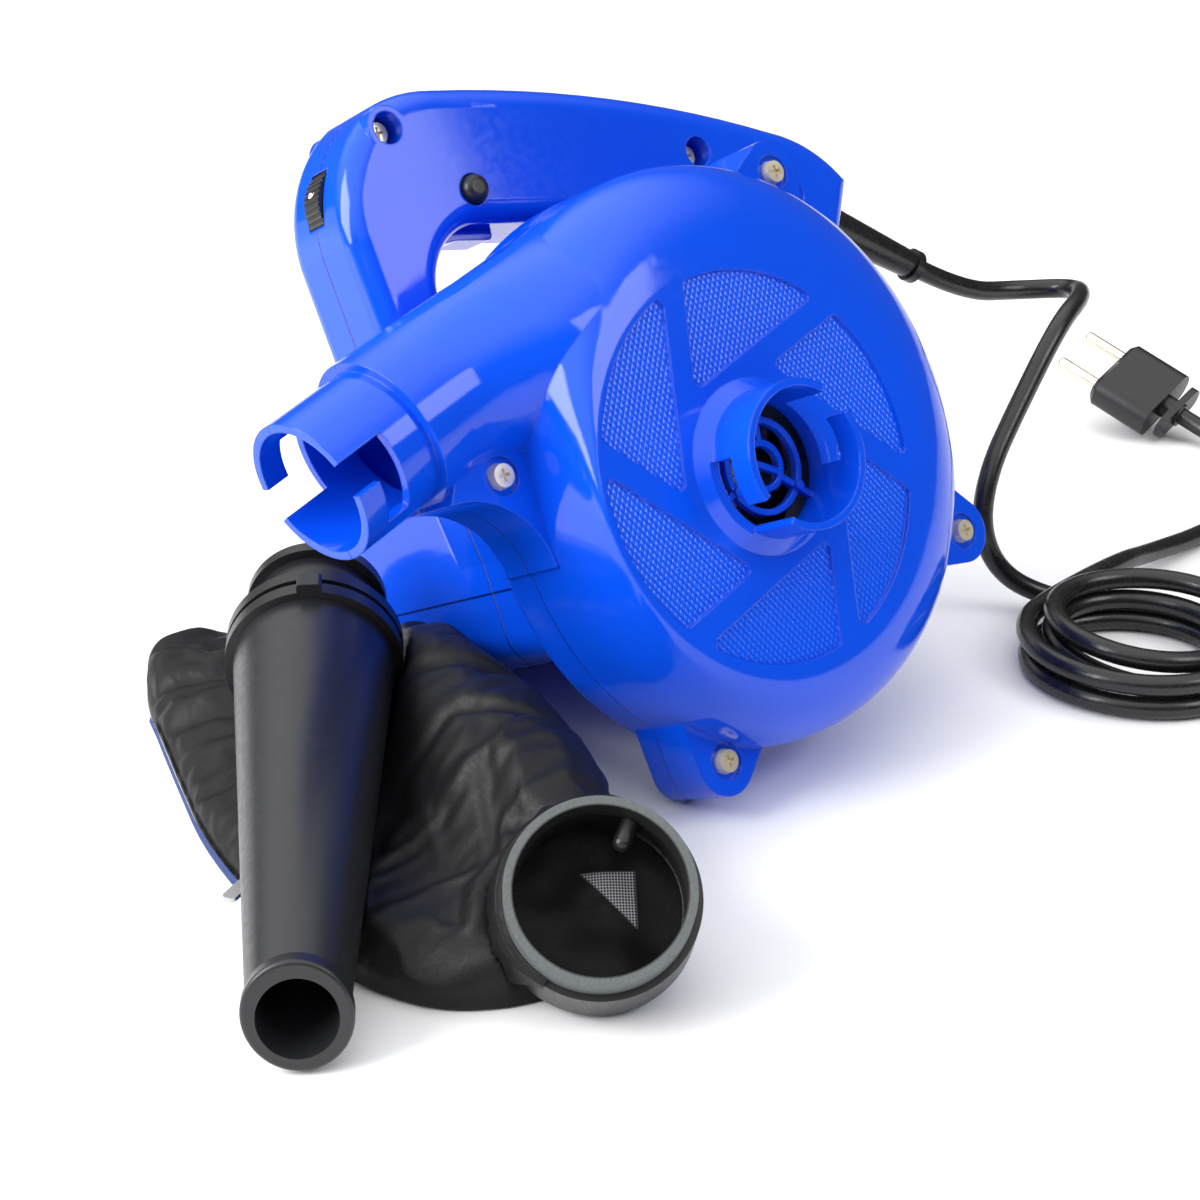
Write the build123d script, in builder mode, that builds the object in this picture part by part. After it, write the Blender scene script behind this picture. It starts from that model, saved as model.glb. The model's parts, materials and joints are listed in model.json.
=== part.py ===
"""Small corded leaf blower with its rubber nozzle and dust bag.

The tool is drawn with its motor axis level along Y, intake face to the front,
and is then leaned back until its lowest lug and the heel of the motor housing
both touch the floor. Nozzle, bag, cord and plug are drawn where they lie.
"""
from build123d import *
import math
import os

# Clearances between pieces, mm
running_gap = 0.05
slide_gap = 0.4
loose_gap = 0.3

# Blower case: an off-centre drum, drawn in at its throat, with a round outlet tube along its top
wall = 2.4
case_radius = 84.4
case_depth = 52
case_centre_x = 8.3
case_centre_z = 5.4
face_radius = 57
face_round = 24
back_round = 4
throat_depth = 16.5
throat_start = 115
throat_full = 170
throat_end = 262
outline_step = 10
parting_depth = 38
tube_radius = 23.2
tube_drop = 0.3
tube_length = 86.5
spigot_radius = 20.5
spigot_bore = 18
spigot_length = 27
outlet_angle = -162.7

# The tube swells as it runs into the drum: distance from the drum, swell
tube_swell = (
    (0, 6.6), (20, 6.6), (34, 6.6), (40, 5.9), (46, 4.7),
    (52, 3.2), (58, 1.8), (64, 0.7), (70, 0.1), (74, 0),
)

# Bayonet slots, the same on the intake socket and the outlet spigot
slot_lip = 7.5
slot_width = 8
slot_open = 28
slot_turn = 38
intake_slot_angle = 37

# Intake socket and grille
socket_radius = 21
socket_wall = 2.2
socket_height = 18.7
socket_foot = 4
grille_rings = (6.5, 13)
grille_bar = 1.8
pip_radius = 1.4

# Dimpled panels around the intake
panel_count = 6
panel_radius = 55.3
panel_start = 47.8
panel_end = 98.8
panel_inner_radius = 29.5
panel_inner_angle = 122
panel_recess = 1
panel_corner = 2

# Screw lugs around the case, by overhang and angle from the case centre, and the web under the tube
lug_radius = 10
lug_root = 20
lug_front = parting_depth - 14
lug_back = parting_depth + 8
lug_recess = 1
lug_recess_radius = 5.4
lug_spots = ((case_radius + 6.5, 55.8), (case_radius + 11.5, -28.5), (case_radius + 3.4, -111.9))
web_spot = (case_radius - 6.2, 169.9)
web_tip = (-87, 15.6)
web_bend = (-68.2, 8.6)
web_foot = (-60.2, -9)
web_back = case_depth - back_round
pillar_radius = 4.6

# Screws
screw_head = 3.75
screw_head_height = 2.4
screw_shank = 1.9
case_screw_length = 20
handle_screw_length = 26
motor_screw_length = 24

# Motor housing behind the case
motor_half_width = 46
motor_top = 44
motor_bottom = -38
motor_corner = 12
heel_round = 6
vent_count = 7
vent_width = 3
vent_length = 20
vent_pitch = 7

# Handle loop, moulded in two halves
handle_near = case_depth + 8
handle_parting = handle_near + 18
handle_far = handle_parting + 18
handle_round = 7
hole_round = 7
hole_corner = 20
hole_lip = 6
counterbore_radius = 4.75
counterbore_depth = 8
handle_boss = 6.6
handle_screw_spots = ((-44, 122), (66.3, 96.5), (100, 76))
motor_screw_spots = ((-36.5, -28.5), (36.5, -28.5))

# Rotor, on the motor axis
shaft_radius = 4
shaft_front = 12
impeller_radius = 54
impeller_back = case_depth - 8
impeller_front = impeller_back - 27
plate_thickness = 2
hub_radius = 10
blade_count = 9
blade_thickness = 1.8
eye_radius = 24
nut_across = 13
nut_height = 6.5
bearing_radius = 11
bearing_width = 7
rear_bearing_radius = 8
rear_bearing_width = 5
core_radius = 20
winding_radius = 17
winding_length = 8
core_front = case_depth + bearing_width + winding_length + 5
core_length = 35
air_gap = 0.6
field_radius = 32.5
commutator_radius = 11
commutator_length = 14
commutator_front = core_front + core_length + winding_length + 3
motor_end = commutator_front + commutator_length + 13.3
brush_width = 6
brush_height = 9
brush_length = 14
holder_wall = 1.5

# Switch, trigger, lock button and speed dial in the handle
trigger_width = 12
trigger_travel = 3
button_radius = 4.25
button_reach = 3.2
button_travel = 3
button_spot = (-21.6, 100)
dial_radius = 13
dial_width = 8
dial_spot = (-52.4, 104.6)

# Mains cord
cord_radius = 3.4
relief_start = (118, 73.3)
relief_end = (163.5, 43.9)
relief_root_radius = 6.6
relief_tip_radius = 4.6
lead_radius = 1.1

# Nozzle and dust bag lying on the floor, in the frame of the leaned tool
nozzle_mouth = (-181, -29, 15.5)
nozzle_collar_spot = (-98.4, 79.9, 38.5)
nozzle_wall = 2.2
nozzle_mouth_radius = 12.4
nozzle_lip = 1.1
nozzle_root_radius = 23
collar_radius = 25.4
collar_length = 11
neck_radius = 17.8
neck_length = 22
flare_radius = 20.5
mouth_slant = 22
bag_ring_spot = (-114, -61, 36.5)
bag_ring_tilt = 47
bag_ring_turn = -128
bag_ring_radius = 23.6
bag_ring_wall = 2.4
bag_ring_height = 8
bag_collar_radius = 25.4
bag_collar_length = 16
bag_flat = 7
bag_tuck = 5


def face_plane(depth):
    """Plane across the motor axis, this far behind the intake face."""
    return Plane.XZ.offset(-depth)


def polar(radius, angle):
    """Point at a radius and an angle in degrees."""
    return (radius * math.cos(math.radians(angle)), radius * math.sin(math.radians(angle)))


def from_case(radius, angle):
    """Point on a face plane at a radius and angle from the case centre."""
    x, z = polar(radius, angle)
    return (case_centre_x + x, case_centre_z + z)


# Outlet tube, tangent to the top of the case
outlet_dir = Vector(math.cos(math.radians(outlet_angle)), 0, math.sin(math.radians(outlet_angle)))
outlet_up = outlet_angle - 90
tube_rise = case_radius - tube_radius - tube_drop
tube_foot = from_case(tube_rise, outlet_up)
rim_reach = tube_length + spigot_length


def outlet_plane(distance):
    """Plane across the outlet tube, this far along it from the case."""
    foot = Vector(tube_foot[0], parting_depth, tube_foot[1])
    return Plane(origin=foot + outlet_dir * distance, x_dir=(0, 1, 0), z_dir=outlet_dir)


def ring_sector(plane, inner, outer, start, end, length):
    """Part of a ring between two angles, raised from a plane."""
    reach = 3 * outer
    middle = (start + end) / 2
    with BuildPart() as piece:
        with BuildSketch(plane):
            Circle(outer)
            Circle(inner, mode=Mode.SUBTRACT)
            with BuildLine():
                Polyline((0, 0), polar(reach, start), polar(reach, middle), polar(reach, end), close=True)
            make_face(mode=Mode.INTERSECT)
        extrude(amount=length)
    return piece.part


def disc(plane, radius, length, bore=0):
    """Round disc or ring raised from a plane."""
    with BuildPart() as piece:
        with BuildSketch(plane):
            Circle(radius)
            if bore:
                Circle(bore, mode=Mode.SUBTRACT)
        extrude(amount=length)
    return piece.part


def discs(depth, spots, radius, length, bore=0):
    """Like discs standing on a face plane, reaching forward from a depth."""
    with BuildPart() as pieces:
        with BuildSketch(face_plane(depth)):
            with Locations(*spots):
                Circle(radius)
                if bore:
                    Circle(bore, mode=Mode.SUBTRACT)
        extrude(amount=length)
    return pieces.part


def drum_radius(angle):
    """Distance of the drum's outline from the motor axis, less where the throat draws it in."""
    x, z = polar(1, angle)
    along = case_centre_x * x + case_centre_z * z
    across = case_centre_x * z - case_centre_z * x
    radius = along + math.sqrt(case_radius**2 - across**2)
    if throat_start < angle <= throat_full:
        part = (angle - throat_start) / (throat_full - throat_start)
        radius -= throat_depth * part**2 * (3 - 2 * part)
    elif throat_full < angle < throat_end:
        part = (throat_end - angle) / (throat_end - throat_full)
        radius -= throat_depth * part * (1 + part - part**2)
    return radius


def drum_section(depth, inset, bulge):
    """Face across the drum, between the round of its face (0) and its full outline (1)."""
    with BuildSketch(face_plane(depth)) as section:
        with BuildLine():
            Spline(
                *[
                    polar(face_radius - inset + (drum_radius(angle) - face_radius) * bulge, angle)
                    for angle in range(0, 360, outline_step)
                ],
                periodic=True,
            )
        make_face()
    return section.sketch


def volute_body(inset):
    """Drum and outlet tube as one solid, drawn in by inset."""
    with BuildPart() as body:
        for step in range(5):
            turn = math.radians(22.5 * step)
            add(drum_section(inset + (face_round - inset) * (1 - math.cos(turn)), inset, math.sin(turn)))
        loft()
        outline = drum_section(case_depth - inset, inset, 1)
        extrude(outline, amount=case_depth - inset - face_round, dir=(0, -1, 0))
        fillet(body.faces().sort_by(Axis.Y)[-1].edges(), back_round - inset)
        add(outlet_tube(inset))
    return body.part


def outlet_tube(inset):
    """Outlet tube with its swelling root, which keeps to the line of the tube's back and top."""
    with BuildPart() as tube:
        for distance, swell in tube_swell:
            with BuildSketch(outlet_plane(distance)):
                with Locations((-swell, swell)):
                    Circle(tube_radius + swell - inset)
        loft()
        add(disc(outlet_plane(distance), tube_radius - inset, tube_length - distance - inset))
    return tube.part


def web(depth, thickness):
    """Web in the corner between the tube and the drum, with the left case screw."""
    with BuildPart() as plate:
        with BuildSketch(face_plane(depth)):
            with BuildLine():
                Polyline(web_foot, (-50, 0), (-50, 35), (-78, 32), web_tip)
                ThreePointArc(web_tip, web_bend, web_foot)
            make_face()
        extrude(amount=thickness)
    return plate.part


def lugs(depth, thickness):
    """Tapered screw ears around the case, from a depth forward."""
    with BuildPart() as ears:
        for reach, angle in lug_spots:
            with BuildSketch(face_plane(depth)):
                with Locations(from_case(reach, angle)):
                    Circle(lug_radius)
                with Locations(from_case(case_radius - lug_root, angle)):
                    Circle(lug_root)
                make_hull()
            extrude(amount=thickness)
    return ears.part


all_lug_spots = [from_case(*spot) for spot in (*lug_spots, web_spot)]


def bayonet_slots(plane, bore, outer, height, first_angle):
    """Two opposite L-shaped slots in the wall of a round socket."""
    floor = height - slot_lip - slot_width
    with BuildPart() as slots:
        for half in (0, 180):
            start = first_angle + half - slot_open / 2
            end = start + slot_open
            add(ring_sector(plane.offset(floor), bore - 1, outer + 1, start, end, height))
            add(ring_sector(plane.offset(floor), bore - 1, outer + 1, start - slot_turn, end, slot_width))
    return slots.part


def spigot(inset):
    """Ring of the outlet that the nozzle or bag locks onto, or its bore."""
    radius = spigot_bore if inset else spigot_radius
    start = tube_length - (wall + 1 if inset else wall / 2)
    return disc(outlet_plane(start), radius, rim_reach + (2 if inset else 0) - start)


# Outer and inner skins of the blower case, shared by its two halves
case_outer = volute_body(0)
case_inner = volute_body(wall)
outlet_slots = bayonet_slots(outlet_plane(tube_length), spigot_bore, spigot_radius, spigot_length, 180)
front_half = Plane.XZ.offset(-parting_depth)
socket_bore = socket_radius - socket_wall

# Front cover: face of the blower with the intake socket and half of the outlet
with BuildPart() as front_cover:
    add(case_outer)
    add(lugs(parting_depth, parting_depth - lug_front))
    add(web(parting_depth, parting_depth - lug_front))
    add(case_inner, mode=Mode.SUBTRACT)
    add(spigot(0))
    add(spigot(wall), mode=Mode.SUBTRACT)
    add(outlet_slots, mode=Mode.SUBTRACT)
    split(bisect_by=front_half, keep=Keep.TOP)
    with BuildSketch(face_plane(wall)):
        Circle(socket_radius)
    extrude(amount=socket_height + wall)
    with BuildSketch(face_plane(0)):
        Circle(socket_radius + socket_foot)
    extrude(amount=socket_foot, taper=45)
    add(disc(face_plane(case_depth), socket_bore, case_depth + 2 * socket_height), mode=Mode.SUBTRACT)
    add(bayonet_slots(face_plane(0), socket_bore, socket_radius, socket_height, intake_slot_angle),
        mode=Mode.SUBTRACT)
    with BuildSketch(face_plane(0)) as panels:
        for turn in range(0, 360, 360 // panel_count):
            with BuildLine():
                arc = ThreePointArc(
                    polar(panel_radius, panel_start + turn),
                    polar(panel_radius, (panel_start + panel_end) / 2 + turn),
                    polar(panel_radius, panel_end + turn),
                )
                Polyline(arc @ 1, polar(panel_inner_radius, panel_inner_angle + turn), arc @ 0)
            make_face()
        fillet(panels.vertices(), panel_corner)
    extrude(amount=-panel_recess, mode=Mode.SUBTRACT)
    for ring in grille_rings:
        add(disc(face_plane(wall), ring + grille_bar / 2, wall, ring - grille_bar / 2))
    with BuildSketch(face_plane(wall)):
        with PolarLocations((grille_rings[0] + socket_bore) / 2, 3, start_angle=80):
            Rectangle(socket_bore - grille_rings[0] + 1, grille_bar)
        Rectangle(2 * grille_rings[0], grille_bar, rotation=150)
    extrude(amount=wall)
    with BuildSketch(face_plane(0)):
        with PolarLocations(grille_rings[1], 3, start_angle=80):
            Circle(pip_radius)
    extrude(amount=pip_radius)
    add(discs(parting_depth, all_lug_spots, screw_shank + slide_gap, parting_depth - lug_front),
        mode=Mode.SUBTRACT)
    add(discs(lug_front + lug_recess, all_lug_spots, lug_recess_radius, lug_recess + screw_head_height),
        mode=Mode.SUBTRACT)


# Handle loop outline, seen from the front
bar_top = ((-23, 131.5), (40, 119.6), (103, 98.2))
handle_points = {
    "root_left": (-44, -20),
    "heel": (-50, 28),
    "post_low": (-65, 64),
    "post_high": (-66.4, 93),
    "brow": (-60.8, 113.2),
    "crown": (-44, 129.8),
    "crest": (-36, 131.6),
    "tail_top": (121, 87),
    "tail_end": (129, 77),
    "tail_low": (118, 59),
    "root_right": (44, -5),
}
hole_points = ((-42, 94.4), (60, 77.5), (86, 68), (84, 54), (40, 49), (-42.5, 50))


def hole_sketch(depth, grow):
    """Outline of the hand hole on a face plane, grown on every side."""
    with BuildSketch(face_plane(depth)) as hole:
        with BuildLine():
            Polyline(*hole_points, close=True)
        make_face()
        fillet(hole.vertices().sort_by(Axis.Y)[:-1], hole_round)
        fillet(hole.vertices().sort_by(Axis.Y)[-1], hole_corner)
        if grow:
            offset(amount=grow)
    return hole.sketch


def handle_body(inset):
    """Handle loop with its hand hole, drawn in by inset on every side."""
    p = handle_points
    with BuildPart() as body:
        with BuildSketch(face_plane(handle_far - inset)):
            with BuildLine():
                Polyline(p["root_left"], p["heel"], p["post_low"], p["post_high"])
                ThreePointArc(p["post_high"], p["brow"], p["crown"])
                ThreePointArc(p["crown"], p["crest"], bar_top[0])
                ThreePointArc(*bar_top)
                ThreePointArc(bar_top[2], p["tail_top"], p["tail_end"])
                Polyline(p["tail_end"], p["tail_low"], p["root_right"], p["root_left"])
            make_face()
            if inset:
                offset(amount=-inset)
        extrude(amount=handle_far - handle_near - 2 * inset)
        if not inset:
            fillet(body.faces().sort_by(Axis.Y)[0].edges(), handle_round)
            fillet(body.faces().sort_by(Axis.Y)[-1].edges(), handle_round)
        hole = hole_sketch(handle_far + 1, inset)
        extrude(hole, amount=handle_far - handle_near + 2, dir=(0, -1, 0), mode=Mode.SUBTRACT)
        if not inset:
            hole_edges = body.edges().filter_by(
                lambda edge: hole_box.is_inside(edge.center()) and abs(edge.tangent_at(0.5).Y) < 0.5
            )
            fillet(hole_edges, hole_lip)
    return body.part


with BuildPart() as hole_box_part:
    extrude(hole_sketch(handle_far + 5, 0.5), amount=handle_far - handle_near + 10, dir=(0, -1, 0))
hole_box = hole_box_part.part


def motor_box(inset):
    """Rounded box around the motor, drawn in by inset."""
    width = 2 * (motor_half_width - inset)
    height = motor_top - motor_bottom - 2 * inset
    front = case_depth - wall + inset
    with BuildPart() as body:
        with BuildSketch(face_plane(motor_end - inset)):
            with Locations((0, (motor_top + motor_bottom) / 2)):
                RectangleRounded(width, height, motor_corner - inset)
        extrude(amount=motor_end - inset - front)
        fillet(body.faces().sort_by(Axis.Y)[-1].edges(), heel_round - inset)
    return body.part


body_outer = [motor_box(0), handle_body(0)]
body_inner = [motor_box(wall), handle_body(wall)]
trigger_outline = ((-34, 98), (-10.5, 95.5), (-11.5, 86), (-24, 88.2), (-33, 88))
trigger_dir = Vector(0.12, 0, 1).normalized()


def trigger_block(grow, lift):
    """Trigger profile across the handle's middle, grown and carried along its slide."""
    with BuildPart() as block:
        for step in (0, lift):
            with BuildSketch(face_plane(handle_parting + trigger_width / 2 + grow)) as profile:
                with BuildLine():
                    Polyline(*[(x + trigger_dir.X * step, z + trigger_dir.Z * step) for x, z in trigger_outline],
                             close=True)
                make_face()
                fillet(profile.vertices(), 1.5)
                if grow:
                    offset(amount=grow)
            extrude(amount=trigger_width + 2 * grow)
    return block.part


trigger_slot = trigger_block(slide_gap, trigger_travel)


def spot_plane(depth, spot):
    """Face plane at a depth, with its origin on a spot of the tool."""
    return Plane(origin=(spot[0], depth, spot[1]), x_dir=(1, 0, 0), z_dir=(0, -1, 0))


dial_slot = disc(
    spot_plane(handle_parting + dial_width / 2 + slide_gap, dial_spot),
    dial_radius + slide_gap,
    dial_width + 2 * slide_gap,
)
relief_dir = Vector(relief_end[0] - relief_start[0], 0, relief_end[1] - relief_start[1]).normalized()
relief_length = math.dist(relief_start, relief_end)


def relief_plane(distance):
    """Plane across the cord's strain relief, this far along it from its root."""
    root = Vector(relief_start[0], handle_parting, relief_start[1])
    return Plane(origin=root + relief_dir * distance, x_dir=(0, 1, 0), z_dir=relief_dir)


relief_hole = disc(relief_plane(-6), relief_root_radius + running_gap, relief_length)
handle_split = Plane.XZ.offset(-handle_parting)
front_seat = case_depth + bearing_width
rear_wall = motor_end - wall

# Middle housing: back of the case, near half of the handle, front of the motor box
with BuildPart() as middle_housing:
    for solid in body_outer:
        add(solid)
    for solid in body_inner:
        add(solid, mode=Mode.SUBTRACT)
    add(discs(handle_far - wall, handle_screw_spots, handle_boss, handle_far - handle_near - wall))
    add(discs(handle_parting + wall, motor_screw_spots, pillar_radius, handle_parting + wall - case_depth))
    split(bisect_by=handle_split, keep=Keep.TOP)
    add(case_outer)
    add(lugs(lug_back, lug_back - parting_depth))
    add(web(web_back, web_back - parting_depth))
    add(case_inner, mode=Mode.SUBTRACT)
    add(spigot(0))
    add(spigot(wall), mode=Mode.SUBTRACT)
    add(outlet_slots, mode=Mode.SUBTRACT)
    split(bisect_by=front_half, keep=Keep.BOTTOM)
    add(disc(face_plane(front_seat), bearing_radius + 3, bearing_width + wall))
    add(disc(face_plane(front_seat), bearing_radius + running_gap, bearing_width), mode=Mode.SUBTRACT)
    add(disc(face_plane(front_seat), bearing_radius - 4, bearing_width + 2 * wall), mode=Mode.SUBTRACT)
    add(discs(handle_near + counterbore_depth, handle_screw_spots, counterbore_radius, 3 * counterbore_depth),
        mode=Mode.SUBTRACT)
    add(discs(handle_parting, handle_screw_spots, screw_shank + slide_gap, handle_parting - handle_near),
        mode=Mode.SUBTRACT)
    add(
        discs(handle_parting, motor_screw_spots, screw_shank + running_gap, motor_screw_length),
        mode=Mode.SUBTRACT,
    )
    add(
        discs(lug_back, all_lug_spots, screw_shank + running_gap, lug_back - parting_depth),
        mode=Mode.SUBTRACT,
    )
    add(
        disc(spot_plane(handle_parting, button_spot), button_radius + slide_gap, handle_parting),
        mode=Mode.SUBTRACT,
    )
    for cut in (trigger_slot, dial_slot, relief_hole):
        add(cut, mode=Mode.SUBTRACT)

# Rear housing: far half of the handle and the motor box with its vented end
motor_boss = screw_head + 1.8
screw_seat = handle_parting + 14
with BuildPart() as rear_housing:
    for solid in body_outer:
        add(solid)
    for solid in body_inner:
        add(solid, mode=Mode.SUBTRACT)
    add(discs(handle_far - wall, handle_screw_spots, handle_boss, handle_far - handle_near - 2 * wall))
    add(discs(rear_wall, motor_screw_spots, motor_boss, rear_wall - handle_parting))
    for rib in (handle_parting + 3, core_front + core_length - 3):
        with BuildSketch(face_plane(rib + wall)):
            with Locations((0, (motor_top + motor_bottom) / 2)):
                RectangleRounded(
                    2 * motor_half_width - wall, motor_top - motor_bottom - wall, motor_corner - wall
                )
            Circle(field_radius + running_gap, mode=Mode.SUBTRACT)
        extrude(amount=wall)
    add(disc(face_plane(rear_wall), rear_bearing_radius + 2.5, rear_bearing_width + 1))
    add(
        disc(face_plane(rear_wall), rear_bearing_radius + running_gap, rear_bearing_width + 1),
        mode=Mode.SUBTRACT,
    )
    with BuildSketch(face_plane(motor_end)):
        for row in (motor_top / 2 + 2, motor_bottom / 2 - 2):
            with Locations((0, row)):
                with GridLocations(vent_pitch, 1, vent_count, 1):
                    SlotOverall(vent_length, vent_width, rotation=90)
    extrude(amount=wall, mode=Mode.SUBTRACT)
    split(bisect_by=handle_split, keep=Keep.BOTTOM)
    add(discs(handle_far - 2 * wall, handle_screw_spots, screw_shank + running_gap,
              handle_far - 2 * wall - handle_parting), mode=Mode.SUBTRACT)
    add(
        discs(motor_end, motor_screw_spots, screw_head + slide_gap, motor_end - screw_seat),
        mode=Mode.SUBTRACT,
    )
    add(discs(screw_seat, motor_screw_spots, screw_shank + slide_gap, screw_seat - handle_parting),
        mode=Mode.SUBTRACT)
    for cut in (trigger_slot, dial_slot, relief_hole):
        add(cut, mode=Mode.SUBTRACT)

# Rotor: shaft, impeller with its nut, armature and commutator
shaft_bore = shaft_radius + running_gap
shaft_end = rear_wall - 1
with BuildPart() as motor_shaft:
    with BuildSketch(face_plane(shaft_end)):
        Circle(shaft_radius)
    extrude(amount=shaft_end - shaft_front)
    chamfer(motor_shaft.edges().filter_by(GeomType.CIRCLE), 0.8)

hub_front = impeller_front + 3
with BuildPart() as impeller:
    with BuildSketch(face_plane(impeller_back)):
        Circle(impeller_radius)
    extrude(amount=plate_thickness)
    with BuildSketch(face_plane(impeller_back)):
        Circle(hub_radius)
    extrude(amount=impeller_back - hub_front)
    with BuildSketch(face_plane(impeller_back - plate_thickness)):
        with PolarLocations((impeller_radius + hub_radius) / 2 + 2, blade_count):
            Rectangle(impeller_radius - hub_radius - 6, blade_thickness, rotation=25)
    extrude(amount=impeller_back - plate_thickness - impeller_front)
    with BuildSketch(face_plane(impeller_front)):
        Circle(impeller_radius)
        Circle(eye_radius, mode=Mode.SUBTRACT)
    extrude(amount=plate_thickness)
    with BuildSketch(face_plane(impeller_back)):
        Circle(shaft_bore)
    extrude(amount=impeller_back, mode=Mode.SUBTRACT)

with BuildPart() as impeller_nut:
    with BuildSketch(face_plane(hub_front)):
        RegularPolygon(nut_across / 2, 6, major_radius=False)
        Circle(shaft_bore, mode=Mode.SUBTRACT)
    extrude(amount=nut_height)

core_back = core_front + core_length
with BuildPart() as armature_core:
    with BuildSketch(face_plane(core_back)):
        Circle(core_radius)
        Circle(shaft_bore, mode=Mode.SUBTRACT)
        with PolarLocations(core_radius, 12):
            Rectangle(6, 2.6, mode=Mode.SUBTRACT)
    extrude(amount=core_length)

with BuildPart() as armature_windings:
    for back in (core_front, core_back + winding_length):
        add(disc(face_plane(back), winding_radius, winding_length, shaft_bore))

commutator_back = commutator_front + commutator_length
with BuildPart() as commutator:
    with BuildSketch(face_plane(commutator_back)):
        Circle(commutator_radius)
        Circle(shaft_bore, mode=Mode.SUBTRACT)
        with PolarLocations(commutator_radius, 24):
            Rectangle(1.6, 0.5, mode=Mode.SUBTRACT)
    extrude(amount=commutator_length)

# Bearings, field and brushes, fixed in the housings
with BuildPart() as front_bearing:
    add(disc(face_plane(front_seat), bearing_radius, bearing_width, shaft_bore))

with BuildPart() as rear_bearing:
    add(disc(face_plane(rear_wall), rear_bearing_radius, rear_bearing_width, shaft_bore))

with BuildPart() as field_core:
    add(disc(face_plane(core_back), field_radius, core_length, core_radius + air_gap))

with BuildPart() as field_coils:
    for back in (core_front, core_back + winding_length):
        for start in (20, 200):
            coil = (core_radius + 2, field_radius - 1.5, start, start + 140, winding_length)
            add(ring_sector(face_plane(back), *coil))

brush_depth = commutator_front + commutator_length / 2
brush_tip = commutator_radius + running_gap
brush_tail = brush_tip + brush_length
holder_end = motor_half_width - wall - running_gap
holder_start = commutator_radius + 3
with BuildPart() as brush_holders:
    for side in (1, -1):
        plane = Plane(origin=(side * holder_start, brush_depth, 0), x_dir=(0, 1, 0), z_dir=(side, 0, 0))
        with BuildSketch(plane):
            Rectangle(brush_height + 2 * holder_wall, brush_width + 2 * holder_wall)
        extrude(amount=holder_end - holder_start)
        with BuildSketch(plane):
            Rectangle(brush_height + 2 * running_gap, brush_width + 2 * running_gap)
        extrude(amount=holder_end - holder_start - holder_wall, mode=Mode.SUBTRACT)

with BuildPart() as carbon_brushes:
    for side in (1, -1):
        brush_plane = Plane(origin=(side * brush_tip, brush_depth, 0), x_dir=(0, 1, 0), z_dir=(side, 0, 0))
        with BuildSketch(brush_plane):
            Rectangle(brush_height, brush_width)
        extrude(amount=brush_length)

with BuildPart() as brush_springs:
    for side in (1, -1):
        plane = Plane(origin=(side * brush_tail, brush_depth, 0), x_dir=(0, 1, 0), z_dir=(side, 0, 0))
        add(disc(plane, brush_width / 2 - 0.4, holder_end - holder_wall - brush_tail))

# Switch with its trigger, lock button and speed dial
with BuildPart() as trigger:
    add(trigger_block(0, 0))

switch_left = -36
switch_right = -5
switch_low = 105.5
switch_high = 121
inner_width = handle_far - handle_near - 2 * wall - 2 * loose_gap
with BuildPart() as switch_body:
    with BuildSketch(face_plane(handle_parting + inner_width / 2)):
        with Locations(((switch_left + switch_right) / 2, (switch_low + switch_high) / 2)):
            RectangleRounded(switch_right - switch_left, switch_high - switch_low, 2)
    extrude(amount=inner_width)

button_flange = handle_near + wall + loose_gap
with BuildPart() as lock_button:
    with BuildSketch(spot_plane(button_flange + 3, button_spot)):
        Circle(button_radius)
    extrude(amount=button_flange + 3 - handle_near + button_reach)
    fillet(lock_button.faces().sort_by(Axis.Y)[0].edges(), button_radius * 0.6)
    with BuildSketch(spot_plane(button_flange + 2, button_spot)):
        with Locations((0, button_radius / 2)):
            Rectangle(2 * button_radius + 3.2, button_radius - 0.3)
    extrude(amount=2)

pin_radius = 2
with BuildPart() as speed_dial:
    with BuildSketch(spot_plane(handle_parting + dial_width / 2, dial_spot)):
        Circle(dial_radius)
        Circle(pin_radius + running_gap, mode=Mode.SUBTRACT)
        with PolarLocations(dial_radius, 48):
            Circle(0.4, mode=Mode.SUBTRACT)
    extrude(amount=dial_width)

board_back = handle_far - wall - loose_gap
board_thickness = 1.6
pot_front = handle_parting + dial_width / 2 + slide_gap
with BuildPart() as dial_control:
    with BuildSketch(spot_plane(board_back - board_thickness, dial_spot)):
        Circle(dial_radius / 2)
    extrude(amount=board_back - board_thickness - pot_front)
    with BuildSketch(spot_plane(pot_front, dial_spot)):
        Circle(pin_radius)
    extrude(amount=dial_width + slide_gap)

with BuildPart() as control_board:
    with BuildSketch(spot_plane(board_back, dial_spot)):
        with Locations((0, -8)):
            RectangleRounded(16, 26, 1)
    extrude(amount=board_thickness)

with BuildPart() as capacitor:
    with BuildSketch(spot_plane(board_back - board_thickness, dial_spot)):
        with Locations((0, -16)):
            RectangleRounded(13, 8, 1)
    extrude(amount=7)

# Screws: four through the case lugs, three in the handle, two in the motor housing


def screws(spots, seat, length, heading):
    """Pan-head screws with a cross recess, seated at a depth and driven along heading."""
    with BuildPart() as group:
        for spot in spots:
            plane = Plane(origin=(spot[0], seat, spot[1]), x_dir=(1, 0, 0), z_dir=(0, -heading, 0))
            with BuildSketch(plane):
                Circle(screw_head)
            extrude(amount=screw_head_height, taper=12)
            with BuildSketch(plane.offset(screw_head_height)):
                Rectangle(3.6, 0.9)
                Rectangle(0.9, 3.6)
            extrude(amount=-1.2, mode=Mode.SUBTRACT)
            with BuildSketch(plane):
                Circle(screw_shank)
            extrude(amount=-length)
    return group.part


with BuildPart() as case_screws:
    add(screws(all_lug_spots, lug_front + lug_recess, case_screw_length, 1))

with BuildPart() as handle_screws:
    add(screws(handle_screw_spots, handle_near + counterbore_depth, handle_screw_length - 6, 1))

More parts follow.
